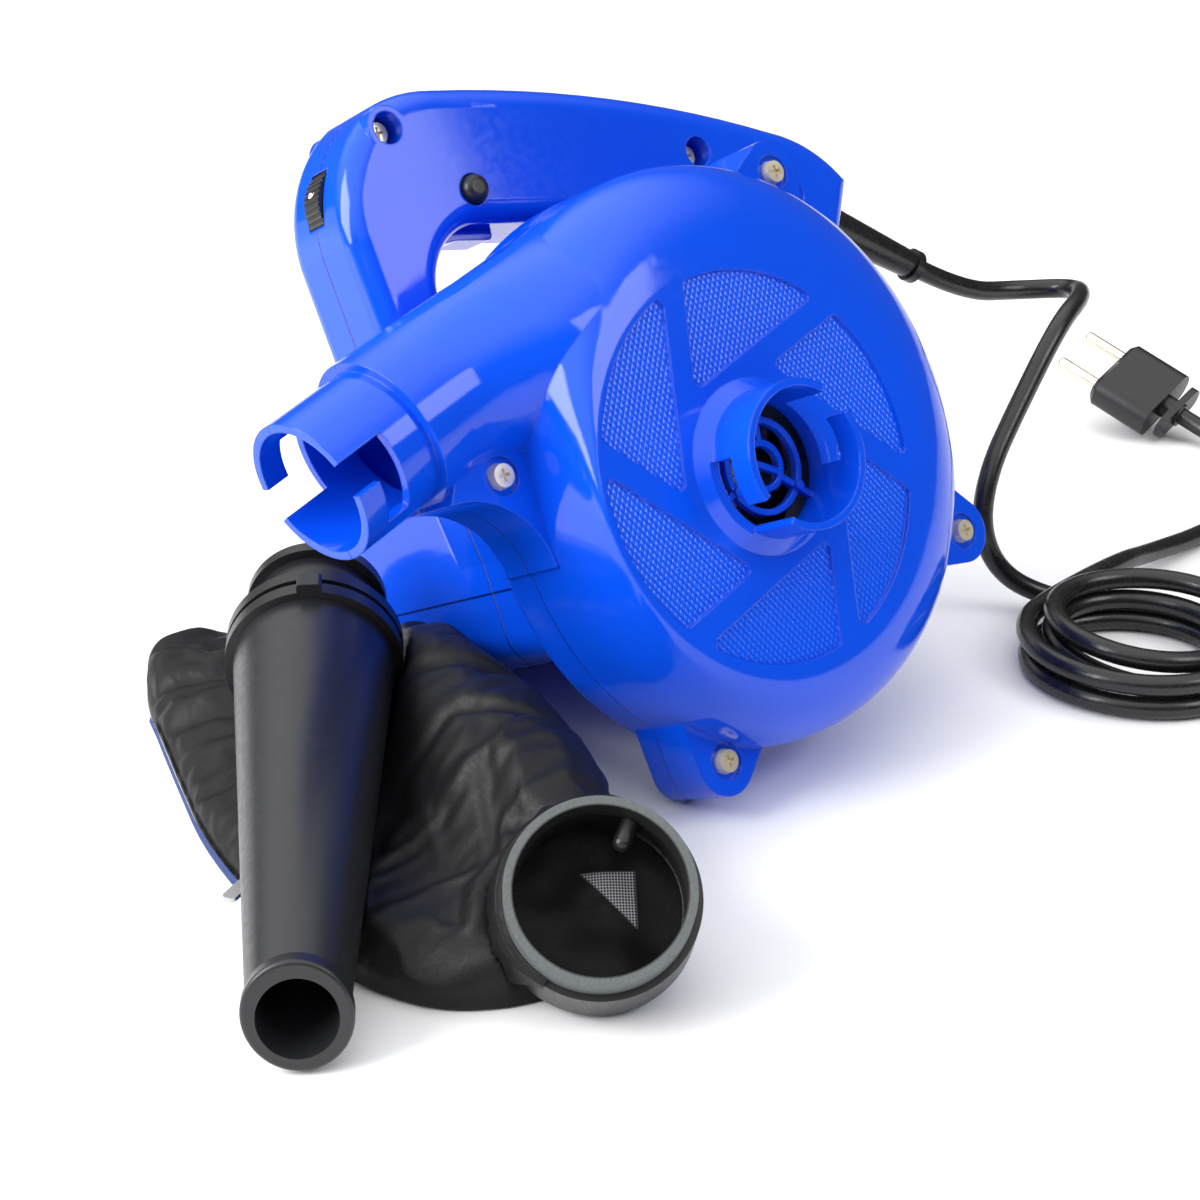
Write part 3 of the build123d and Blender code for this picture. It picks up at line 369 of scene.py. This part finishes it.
# Control board: a small printed board behind the dial, of glass fibre under a green solder mask.
# It is slid into ribs of the handle.
dress("control_board", surface("board_mask", (0.01, 0.09, 0.03), 0.3, grain=700))

# Screws, nut and springs: plated steel with a faint yellow cast.
# The screws are driven into bosses of the mouldings, the nut holds the impeller on its shaft.
plated_yellow = (0.85, 0.77, 0.56)
plated = surface("plated_steel", plated_yellow, 0.2, metal=0.6, bump=0.0, vary=0.05, spread=0.04)
for name in ("case_screws", "handle_screws", "motor_screws", "impeller_nut", "brush_springs"):
    dress(name, plated)

# Motor: ground steel shaft and bearings, varnished stacks of laminations, enamelled copper windings,
# pressed carbon brushes and a nylon impeller. It sits in the motor box, on the rotor's axis.
ground_steel = surface("ground_steel", (0.55, 0.55, 0.57), 0.25, metal=1.0, grain=1500, bump=0.04)
for name in ("motor_shaft", "front_bearing", "rear_bearing"):
    dress(name, ground_steel)
laminated = surface("lamination_varnish", (0.1, 0.1, 0.11), 0.45, metal=0.4, grain=1500, bump=0.1)
for name in ("armature_core", "field_core"):
    dress(name, laminated)
copper = surface("enamelled_copper", (0.62, 0.25, 0.09), 0.3, metal=0.9, grain=1800, bump=0.2)
for name in ("armature_windings", "field_coils", "commutator"):
    dress(name, copper)
dress("carbon_brushes", surface("pressed_carbon", (0.03, 0.03, 0.03), 0.6, grain=2000, bump=0.1))
dress("impeller", surface("fan_nylon", (0.16, 0.19, 0.3), 0.35, grain=800, bump=0.02))

# Mains cord: one round lead in black PVC, moulded into its strain relief and its plug. It folds tightly, hangs
# down behind the case, lies in a loose coil of turns and runs on to the plug. The route is in mm on the floor,
# and turns are counted from where the cord meets the coil.
cord_diameter = 0.0068
relief_root = tool(118, 78, 73.3)
relief_tip = tool(163.5, 78, 43.9)
straight_out = 0.024
fold_route = ((208, 79.5, 86.5), (220, 64, 88.5), (206, 49, 92.5), (182, 40.5, 89), (158, 36.5, 66),
              (140, 32.5, 49), (133, 28.5, 31), (139.5, 23, 14.5), (154, 13, 5.2))
tail_route = ((181, 7, 12.5), (208, 12.5, 6.2), (244, 13, 3.6), (284, 19, 3.6), (316, 38, 3.6))
hank_centre = (142, -32)
hank_radius = 36.8
hank_drawn_in = 8.4
hank_start = 52
turn_count = 3.86
points_in_turns = 54
lowest_turn = 4.0
turn_above_turn = 7.3
last_turn_drop = 6.9
plug_centre = (317, 113, 21.4)
plug_way = Vector((-0.1704, 0.9246, 0.34)).normalized()
plug_half_length = 0.034
plug_sleeve = 0.0183
cord_jacket = surface("cord_jacket", (0.009, 0.009, 0.01), 0.27, grain=500, bump=0.006)
for name in ("strain_relief", "inner_leads"):
    dress(name, cord_jacket)


def eased(start, end, value):
    """Smooth step from 0 at start to 1 at end."""
    share = min(1, max(0, (value - start) / (end - start)))
    return share * share * (3 - 2 * share)


relief_way = (relief_tip - relief_root).normalized()
route = [relief_tip, relief_tip + relief_way * straight_out]
route += [laid(point) for point in fold_route]
for index in range(points_in_turns + 1):
    turned = turn_count * index / points_in_turns
    drawn_in = hank_drawn_in * eased(0.72, 1.0, turned)
    let_out = hank_drawn_in * eased(2.95, 3.3, turned)
    radius = hank_radius - drawn_in + let_out
    second_layer = turn_above_turn * eased(1.3, 1.8, turned)
    third_layer = turn_above_turn * eased(2.15, 2.75, turned)
    high = lowest_turn + second_layer + third_layer - last_turn_drop * eased(3.1, 3.5, turned)
    angle = math.radians(hank_start - 360 * turned)
    sideways = hank_centre[0] + radius * math.cos(angle)
    onwards = hank_centre[1] + radius * math.sin(angle)
    route.append(laid((sideways, onwards, high)))
route += [laid(point) for point in tail_route]
plug_exit = laid(plug_centre) - plug_way * plug_half_length
route += [plug_exit - plug_way * plug_sleeve, plug_exit]
cord_curve = bpy.data.curves.new("mains_cord", "CURVE")
cord_curve.dimensions = "3D"
cord_curve.bevel_depth = cord_diameter / 2
cord_curve.bevel_resolution = 8
cord_curve.resolution_u = 12
strand = cord_curve.splines.new("NURBS")
strand.points.add(len(route) - 1)
for control, point in zip(strand.points, route):
    control.co = (*point, 1)
strand.order_u = 3
strand.use_endpoint_u = True
cord_curve.materials.append(cord_jacket)
mains_cord = bpy.data.objects.new("mains_cord", cord_curve)
scene.collection.objects.link(mains_cord)
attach(mains_cord, "housing")
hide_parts("cord_upper", "cord_hank", "cord_tail")

# Plug: a black grip, moulded in plastic on the end of the cord.
# Two round plated pins are set in it.
dress("plug_body", black_plastic)
dress("plug_pins", surface("plated_pins", (0.78, 0.72, 0.6), 0.16, metal=1.0, bump=0.0, vary=0.04))

# Nozzle: a soft black rubber cone with a beaded mouth, pushed on to a plastic collar. It lies loose on the
# bag. Its axis runs from foot to mouth, in mm on the floor, and the bag is kept clear of it.
nozzle_mouth = Vector((-181, -29, 15.5))
nozzle_foot = Vector((-98.4, 79.9, 38.5))
nozzle_run = nozzle_mouth - nozzle_foot
nozzle_taper = 10.6
neck_end = -0.27
mouth_end = 1.02
dress("nozzle_rubber", surface("nozzle_rubber", (0.012, 0.0125, 0.014), 0.36, grain=500, bump=0.02))
dress("nozzle_collar", black_plastic)

# Dust bag: a slack shell of thin black nylon, sewn from two halves and drawn over a collar. It is puffed along
# a ridge from the collar to behind the nozzle, lies flat under the nozzle and ends in a zipped edge. The cloth
# is then let grow a little, so it creases. Plan points and heights are in mm on the floor.
rim_centre = laid((-114, -61, 36.5))
rim_way = Vector((-0.4199, -0.5374, 0.7314))
rim_side = Vector((0.788, -0.6157, 0))
rim_up = Vector((0.4503, 0.5763, 0.682))
left_edge = ((-118, -48), (-131, -43), (-143, -33), (-150, -18), (-153, 0), (-152, 22), (-149, 47), (-143, 72),
             (-134, 97), (-122, 128), (-112, 153), (-98, 172))
right_edge = ((-112, -48), (-97, -44), (-84, -34), (-73, -18), (-65, 0), (-59, 20), (-54, 45), (-50, 68),
              (-49, 90), (-54, 120), (-66, 151), (-91, 174))
ridge_line = ((-100, -38), (-93, -20), (-88, -4), (-81, 14), (-75, 32), (-69, 52), (-63, 72), (-58, 88))
ridge_heights = (34, 43, 46, 46, 45, 44, 42, 34)
hump_right = 23
hump_left = 46
edge_height = 4
flat_height = 12
lowest_top = 2.0
front_ease = 0.07
back_ease = 0.05
join_lift = 3
join_reach = 6
broad_waver = 1.7
fine_waver = 0.9
bed_under_collar = 26.8
bed_under_cone = 24.6
bed_gap = 0.5
underside = 0.6
cloth_steps = 14
most_growth = 0.003
clear_of_collar = 26.3
clear_of_cone = 24.3
gripped_ahead = -0.026
back_of_collar = -0.0246
collar_radius = 0.0262

# Each crease has the plan points along it, its lift and its half width.
creases = (
    (((-92, 24), (-104, 4), (-112, -8), (-118, -16), (-124, -26)), 2.6, 7),
    (((-99, 20), (-110, 0), (-117, -12)), -2.2, 5),
    (((-86, 26), (-82, 14), (-76, 6)), -2.4, 4),
    (((-106, -18), (-104, -26), (-100, -31)), -2.4, 4),
    (((-117, 18), (-105, 14), (-96, 2)), 1.8, 6),
    (((-80, 60), (-72, 48), (-66, 34)), -2.0, 5),
    (((-128, -30), (-120, -22), (-112, -20)), 1.8, 5),
    (((-121, 136), (-114, 126), (-104, 118)), 2.0, 5),
    (((-125, 126), (-117, 117), (-110, 108)), -2.0, 4),
    (((-110, 158), (-98, 150), (-92, 138)), 2.2, 5),
    (((-116, 146), (-106, 138), (-98, 128)), -2.0, 5),
    (((-131, 104), (-124, 98), (-118, 92)), 2.0, 5),
    (((-140, 80), (-131, 78), (-125, 76)), -1.8, 5),
)


def smooth_point(chain, share):
    """Point at a share of a smooth curve through a chain of plan points."""
    spot = share * (len(chain) - 1)
    index = min(int(spot), len(chain) - 2)
    part = spot - index
    around = [chain[min(max(index + step, 0), len(chain) - 1)] for step in (-1, 0, 1, 2)]
    before, start, end, after = [Vector(point) for point in around]
    return 0.5 * (2 * start + (end - before) * part + (2 * before - 5 * start + 4 * end - after) * part ** 2
                  + (3 * start - before - 3 * end + after) * part ** 3)


def off_line(spot, start, end):
    """Share along a straight line that is nearest to a plan point, and the way from there to the point."""
    run = end - start
    share = min(1, max(0, (spot - start).dot(run) / run.length_squared))
    return share, spot - start - run * share


def off_ridge(spot):
    """Distance of a plan point from the ridge, right positive, the ridge's height there and how far along."""
    best = None
    for index in range(len(ridge_line) - 1):
        start, end = Vector(ridge_line[index]), Vector(ridge_line[index + 1])
        share, away = off_line(spot, start, end)
        run = end - start
        if best is None or away.length < abs(best[0]):
            right = 1 if away.x * run.y - away.y * run.x > 0 else -1
            crest = ridge_heights[index] * (1 - share) + ridge_heights[index + 1] * share
            best = (right * away.length, crest, index + share)
    return best


def bag_height(spot, along, aside):
    """Height of the bag's upper side at a plan point and its shares along and across the bag."""
    ends = eased(0, front_ease, along) * eased(0, back_ease, 1 - along)
    puff = edge_height + flat_height * ends * max(0.0, 1 - (2 * aside - 1) ** 4) ** 0.8
    lateral, crest, way = off_ridge(spot)
    if lateral > 0:
        hump = crest * math.sqrt(max(0.0, 1 - (lateral / hump_right) ** 2))
    else:
        hump = crest * 0.5 * (1 + math.cos(math.pi * min(1, -lateral / hump_left)))
    high = max(puff, hump) + join_lift * math.exp(-abs(puff - hump) / join_reach)
    swell = eased(4, 14, high)
    high += swell * broad_waver * noise.noise(Vector((lateral * 0.11, way * 0.55, 0.3)))
    high += swell * fine_waver * noise.noise(Vector((lateral * 0.05 + spot.y * 0.2, way * 0.4, 4.3)))
    for chain, lift, half in creases:
        lines = zip(chain, chain[1:])
        nearest = min(off_line(spot, Vector(start), Vector(end))[1].length for start, end in lines)
        if nearest < half:
            high += swell * lift * (1 - (nearest / half) ** 2) ** 2
    reach = (spot - nozzle_foot.xy).dot(nozzle_run.xy) / nozzle_run.xy.length_squared
    if neck_end < reach < mouth_end:
        axis = nozzle_foot + nozzle_run * reach
        radius = bed_under_collar if reach < 0.03 else bed_under_cone - nozzle_taper * reach
        beside = (spot - axis.xy).length
        if beside < radius:
            high = min(high, axis.z - math.sqrt(radius ** 2 - beside ** 2) - bed_gap)
    return max(high, lowest_top)


bag_rows = 116
bag_columns = 62
bag_points = []
for row in range(bag_rows + 1):
    along = row / bag_rows
    left = smooth_point(left_edge, along)
    right = smooth_point(right_edge, along)
    for column in range(bag_columns + 1):
        spot = left + (right - left) * (column / bag_columns)
        bag_points.append(Vector((spot.x, spot.y, bag_height(spot, along, column / bag_columns))))
top_count = len(bag_points)
bag_points += [Vector((point.x, point.y, underside)) for point in bag_points]
bag_faces = []
for row in range(bag_rows):
    for column in range(bag_columns):
        corner = row * (bag_columns + 1) + column
        quad = (corner, corner + 1, corner + bag_columns + 2, corner + bag_columns + 1)
        bag_faces.append(quad)
        bag_faces.append(tuple(top_count + index for index in reversed(quad)))
border = list(range(bag_columns + 1))
border += [row * (bag_columns + 1) + bag_columns for row in range(1, bag_rows + 1)]
border += [bag_rows * (bag_columns + 1) + column for column in range(bag_columns - 1, -1, -1)]
border += [row * (bag_columns + 1) for row in range(bag_rows - 1, 0, -1)]
for here, onward in zip(border, border[1:] + border[:1]):
    bag_faces.append((onward, here, here + top_count, onward + top_count))
bag_mesh = bpy.data.meshes.new("dust_bag")
bag_mesh.from_pydata([tuple(laid(point)) for point in bag_points], [], bag_faces)
bag = bpy.data.objects.new("dust_bag", bag_mesh)
scene.collection.objects.link(bag)
held = bag.vertex_groups.new(name="held")
for index, point in enumerate(bag_points):
    ahead_of_rim = (laid(point) - rim_centre).dot(rim_way)
    if index >= top_count or ahead_of_rim > gripped_ahead:
        held.add([index], 1.0, "REPLACE")
    elif index in border:
        held.add([index], 0.8, "REPLACE")
still = [vertex.co.copy() for vertex in bag_mesh.vertices]
cloth = bag.modifiers.new("cloth", "CLOTH")
cloth.settings.quality = 5
cloth.settings.mass = 0.15
cloth.settings.tension_stiffness = 12
cloth.settings.compression_stiffness = 12
cloth.settings.shear_stiffness = 4
cloth.settings.bending_stiffness = 0.02
cloth.settings.shrink_min = -0.035
cloth.settings.use_pressure = True
cloth.settings.uniform_pressure_force = 0.5
cloth.settings.effector_weights.gravity = 0
cloth.settings.vertex_group_mass = "held"
cloth.collision_settings.use_collision = False
for step in range(1, cloth_steps + 1):
    scene.frame_set(step)
settled = bpy.data.meshes.new_from_object(bag.evaluated_get(bpy.context.evaluated_depsgraph_get()))
bag.modifiers.clear()
bag.data = settled
scene.frame_set(1)
for vertex, before in zip(bag.data.vertices, still):
    move = vertex.co - before
    if move.length > most_growth:
        move *= most_growth / move.length
    place = before + move
    spot = (place - under_motor) * 1000
    reach = (spot - nozzle_foot).dot(nozzle_run) / nozzle_run.length_squared
    off_axis = spot - nozzle_foot - nozzle_run * reach
    clear = clear_of_collar if reach < 0.02 else clear_of_cone - nozzle_taper * reach
    if neck_end < reach < mouth_end and 0 < off_axis.length < clear:
        place += off_axis.normalized() * (clear - off_axis.length) / 1000
    in_front = (place - rim_centre).dot(rim_way)
    beside_rim = place - rim_centre - rim_way * in_front
    if in_front > back_of_collar and beside_rim.length < collar_radius:
        place += rim_way * (back_of_collar - in_front)
    place.z = max(place.z, underside / 1000)
    vertex.co = place
for face in bag.data.polygons:
    face.use_smooth = True
finer = bag.modifiers.new("finer", "SUBSURF")
finer.levels = 1
finer.render_levels = 1
nylon = surface("bag_nylon", (0.007, 0.007, 0.0075), 0.5, grain=900, bump=0.1, vary=0.2)
nylon.node_tree.nodes["Principled BSDF"].inputs["Specular IOR Level"].default_value = 0.22
bag.data.materials.clear()
bag.data.materials.append(nylon)
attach(bag, "bag")
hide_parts("bag_cloth")

# Cuff of the bag: the hem of the same nylon, drawn over the collar up to the grey rim and gripped there.
# It leaves the lower right of the collar bare. Angles go round the rim from its right side, lengths are in m.
cuff_start = 58
cuff_sweep = 178
cuff_steps = 72
cuff_rows = 10
hem_back = 0.0068
hem_radius = 0.0238
cuff_length = 0.0205
cuff_radius = 0.02575
cuff_wrinkle = 0.0008
cuff_flare = 0.0015
cuff_above_floor = 0.0004


def smooth_piece(name, points, faces, made):
    """Smooth mesh piece of one material."""
    mesh = bpy.data.meshes.new(name)
    mesh.from_pydata([tuple(point) for point in points], [], faces)
    for face in mesh.polygons:
        face.use_smooth = True
    mesh.materials.append(made)
    piece = bpy.data.objects.new(name, mesh)
    scene.collection.objects.link(piece)
    return piece


cuff_points = []
cuff_faces = []
for step in range(cuff_steps + 1):
    angle = math.radians(cuff_start + cuff_sweep * step / cuff_steps)
    ease = eased(0, 0.16, step / cuff_steps) * eased(0, 0.16, 1 - step / cuff_steps)
    for row in range(cuff_rows):
        share = row / (cuff_rows - 1)
        back = -hem_back - cuff_length * share * (0.2 + 0.8 * ease)
        wrinkle = noise.noise(Vector((7.5 * math.cos(angle), 7.5 * math.sin(angle), 1.2 * share)))
        out = cuff_radius + cuff_wrinkle * ease * (1 + wrinkle) + cuff_flare * ease * share * share
        if row == 0:
            out = hem_radius
        point = rim_centre + rim_way * back + (rim_side * math.cos(angle) + rim_up * math.sin(angle)) * out
        point.z = max(point.z, cuff_above_floor)
        cuff_points.append(point)
for step in range(cuff_steps):
    for row in range(cuff_rows - 1):
        first = step * cuff_rows + row
        cuff_faces.append((first, first + 1, first + cuff_rows + 1, first + cuff_rows))
cuff = smooth_piece("bag_cuff", cuff_points, cuff_faces, nylon)
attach(cuff, "bag")

# Mouth of the bag: a rough grey rim, cut from tube and glued into a black moulded collar.
# Its bore is tinted near black as painted shade inside the tube. The bore's reach from the rim's axis is in mm.
rim_grey = (0.08, 0.09, 0.092)
# Near black painted in the rim's bore: painted shade.
bore_shade_black = (0.006, 0.006, 0.0065)
bore_reach = 21.3


def from_rim(tree):
    """Way from the middle of the rim to the point that is shaded."""
    shaded_point = tree.nodes.new("ShaderNodeTexCoord")
    return vector_maths(tree, "SUBTRACT", shaded_point.outputs["Object"], rim_centre).outputs["Vector"]


rough_rim = surface("grey_rim", rim_grey, 0.55, grain=900, bump=0.3)
rim_tree = rough_rim.node_tree
rim_cross = vector_maths(rim_tree, "CROSS_PRODUCT", from_rim(rim_tree), rim_way * 1000).outputs["Vector"]
rim_reach = vector_maths(rim_tree, "LENGTH", rim_cross).outputs["Value"]
# Painted shade: inside this reach from the axis, the rim's bore is tinted near black.
tint(rough_rim, bore_shade_black, ramp(rim_tree, rim_reach, bore_reach, bore_reach + 0.5, 1.0, 0.0))
dress("bag_ring", rough_rim)
dress("bag_collar", black_plastic)

# Lining: the thin black cloth that is drawn across the mouth, glued in round the bore and sagging to one side.
# A three-cornered patch of pale open mesh is sewn into it. Its sides are in mm from the rim's axis.
# The cloth is darker and less glossy than the bag's nylon: painted shade inside the bag.
lining_radius = 0.0211
lining_depth = 0.018
lining_sag = 0.0065
lining_fold = 0.0022
lining_rings = 12
lining_spokes = 48
mesh_grey = (0.28, 0.28, 0.3)
mesh_top = 9.4
mesh_right = 10.0
mesh_slope = 2.9
thread_pitch = 4.2
lining_points = [rim_centre - rim_way * lining_depth]
lining_faces = []
for ring in range(1, lining_rings + 1):
    for spoke in range(lining_spokes):
        angle = math.radians(360 / lining_spokes * spoke)
        radius = lining_radius * ring / lining_rings
        sideways = radius * math.cos(angle)
        upwards = radius * math.sin(angle)
        waver = noise.noise(Vector((sideways * 90, upwards * 90, 3.1)))
        fold = waver * lining_fold * (1 - (ring / lining_rings) ** 4)
        sag = -lining_depth + lining_sag * eased(-0.004, 0.018, -0.6 * sideways - 0.8 * upwards) + fold
        lining_points.append(rim_centre + rim_way * sag + rim_side * sideways + rim_up * upwards)
for spoke in range(lining_spokes):
    lining_faces.append((0, 1 + spoke, 1 + (spoke + 1) % lining_spokes))
for ring in range(lining_rings - 1):
    for spoke in range(lining_spokes):
        here = 1 + ring * lining_spokes + spoke
        beside = 1 + ring * lining_spokes + (spoke + 1) % lining_spokes
        lining_faces.append((here, here + lining_spokes, beside + lining_spokes, beside))
# Painted shade: a darker, duller copy of the bag's black nylon, standing for the shade inside the bag.
lining_in_shade = surface("mouth_lining_in_shade", (0.002, 0.002, 0.0022), 0.5, grain=900, bump=0.1)
lining_in_shade.node_tree.nodes["Principled BSDF"].inputs["Specular IOR Level"].default_value = 0.12
lining_tree = lining_in_shade.node_tree
in_mouth = from_rim(lining_tree)
right_of_axis = vector_maths(lining_tree, "DOT_PRODUCT", in_mouth, rim_side * 1000).outputs["Value"]
above_axis = vector_maths(lining_tree, "DOT_PRODUCT", in_mouth, rim_up * 1000).outputs["Value"]
slope = maths(lining_tree, "ADD",
              maths(lining_tree, "MULTIPLY", right_of_axis, 0.73),
              maths(lining_tree, "MULTIPLY", above_axis, 0.68))
patch = maths(lining_tree, "MULTIPLY",
              ramp(lining_tree, above_axis, mesh_top - 0.8, mesh_top, 1.0, 0.0),
              ramp(lining_tree, slope, mesh_slope, mesh_slope + 0.8, 0.0, 1.0))
patch = maths(lining_tree, "MULTIPLY", patch,
              ramp(lining_tree, right_of_axis, mesh_right - 1.2, mesh_right, 1.0, 0.0))
weave = []
for across_threads in (right_of_axis, above_axis):
    wave = maths(lining_tree, "SINE", maths(lining_tree, "MULTIPLY", across_threads, thread_pitch))
    weave.append(maths(lining_tree, "ABSOLUTE", wave))
threads = ramp(lining_tree, maths(lining_tree, "MULTIPLY", *weave), 0.2, 0.6, 1.0, 0.0)
tint(lining_in_shade, mesh_grey, maths(lining_tree, "MULTIPLY", patch, threads))
lining = smooth_piece("bag_lining", lining_points, lining_faces, lining_in_shade)
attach(lining, "bag")

# Pin in the mouth: a round-ended black stud, moulded on the inner wall of the collar.
# It is what turns in a bayonet slot of the blower.
pin_radius = 0.0024
pin_length = 0.0056
pin_behind_rim = 0.0085
pin_off_axis = 0.0153
pin_way = (rim_side * 0.41 + rim_up * 0.91).normalized()
pin_mesh = bpy.data.meshes.new("bag_pin")
pin_shape = bmesh.new()
bmesh.ops.create_uvsphere(pin_shape, u_segments=24, v_segments=14, radius=pin_radius)
stem = bmesh.ops.create_cone(pin_shape, segments=24, radius1=pin_radius, radius2=pin_radius, depth=pin_length)
bmesh.ops.translate(pin_shape, verts=stem["verts"], vec=(0, 0, pin_length / 2))
pin_shape.to_mesh(pin_mesh)
pin_shape.free()
for face in pin_mesh.polygons:
    face.use_smooth = True
pin_mesh.materials.append(black_plastic)
bag_pin = bpy.data.objects.new("bag_pin", pin_mesh)
bag_pin.location = rim_centre - rim_way * pin_behind_rim + pin_way * pin_off_axis
bag_pin.rotation_mode = "QUATERNION"
bag_pin.rotation_quaternion = pin_way.to_track_quat("Z", "Y")
scene.collection.objects.link(bag_pin)
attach(bag_pin, "bag")

# Zip: a narrow navy ribbon with fine teeth across it, sewn along the far edge of the bag, and a steel slider.
# The ribbon covers a share of the bag's left edge. Its profile, out from the edge and up, is in mm.
zip_start = 0.42
zip_span = 0.44
zip_stitches = 90
zip_profile = ((1.0, 1.6), (1.5, 3.4), (1.0, 5.2))
zip_points = []
zip_faces = []
for stitch in range(zip_stitches + 1):
    share = zip_start + zip_span * stitch / zip_stitches
    edge = smooth_point(left_edge, share)
    ahead = smooth_point(left_edge, share + 0.01) - edge
    outward = Vector((-ahead.y, ahead.x)).normalized()
    for out, high in zip_profile:
        spot = edge + outward * out
        zip_points.append(laid((spot.x, spot.y, high)))
for stitch in range(zip_stitches):
    for row in range(len(zip_profile) - 1):
        first = stitch * len(zip_profile) + row
        onward = first + len(zip_profile)
        zip_faces.append((first, first + 1, onward + 1, onward))
zip_cloth = surface("zip_cloth", (0.012, 0.035, 0.16), 0.7, grain=900, bump=0.3)
zip_place = zip_cloth.node_tree.nodes.new("ShaderNodeTexCoord")
teeth = zip_cloth.node_tree.nodes.new("ShaderNodeTexWave")
teeth.bands_direction = "Y"
teeth.inputs["Scale"].default_value = 260
zip_cloth.node_tree.links.new(zip_place.outputs["Object"], teeth.inputs["Vector"])
emboss(zip_cloth, teeth.outputs["Fac"], 0.5, 0.0006)
bag_zip = smooth_piece("bag_zip", zip_points, zip_faces, zip_cloth)
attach(bag_zip, "bag")
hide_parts("zip_tape")
dress("zip_pull", ground_steel)
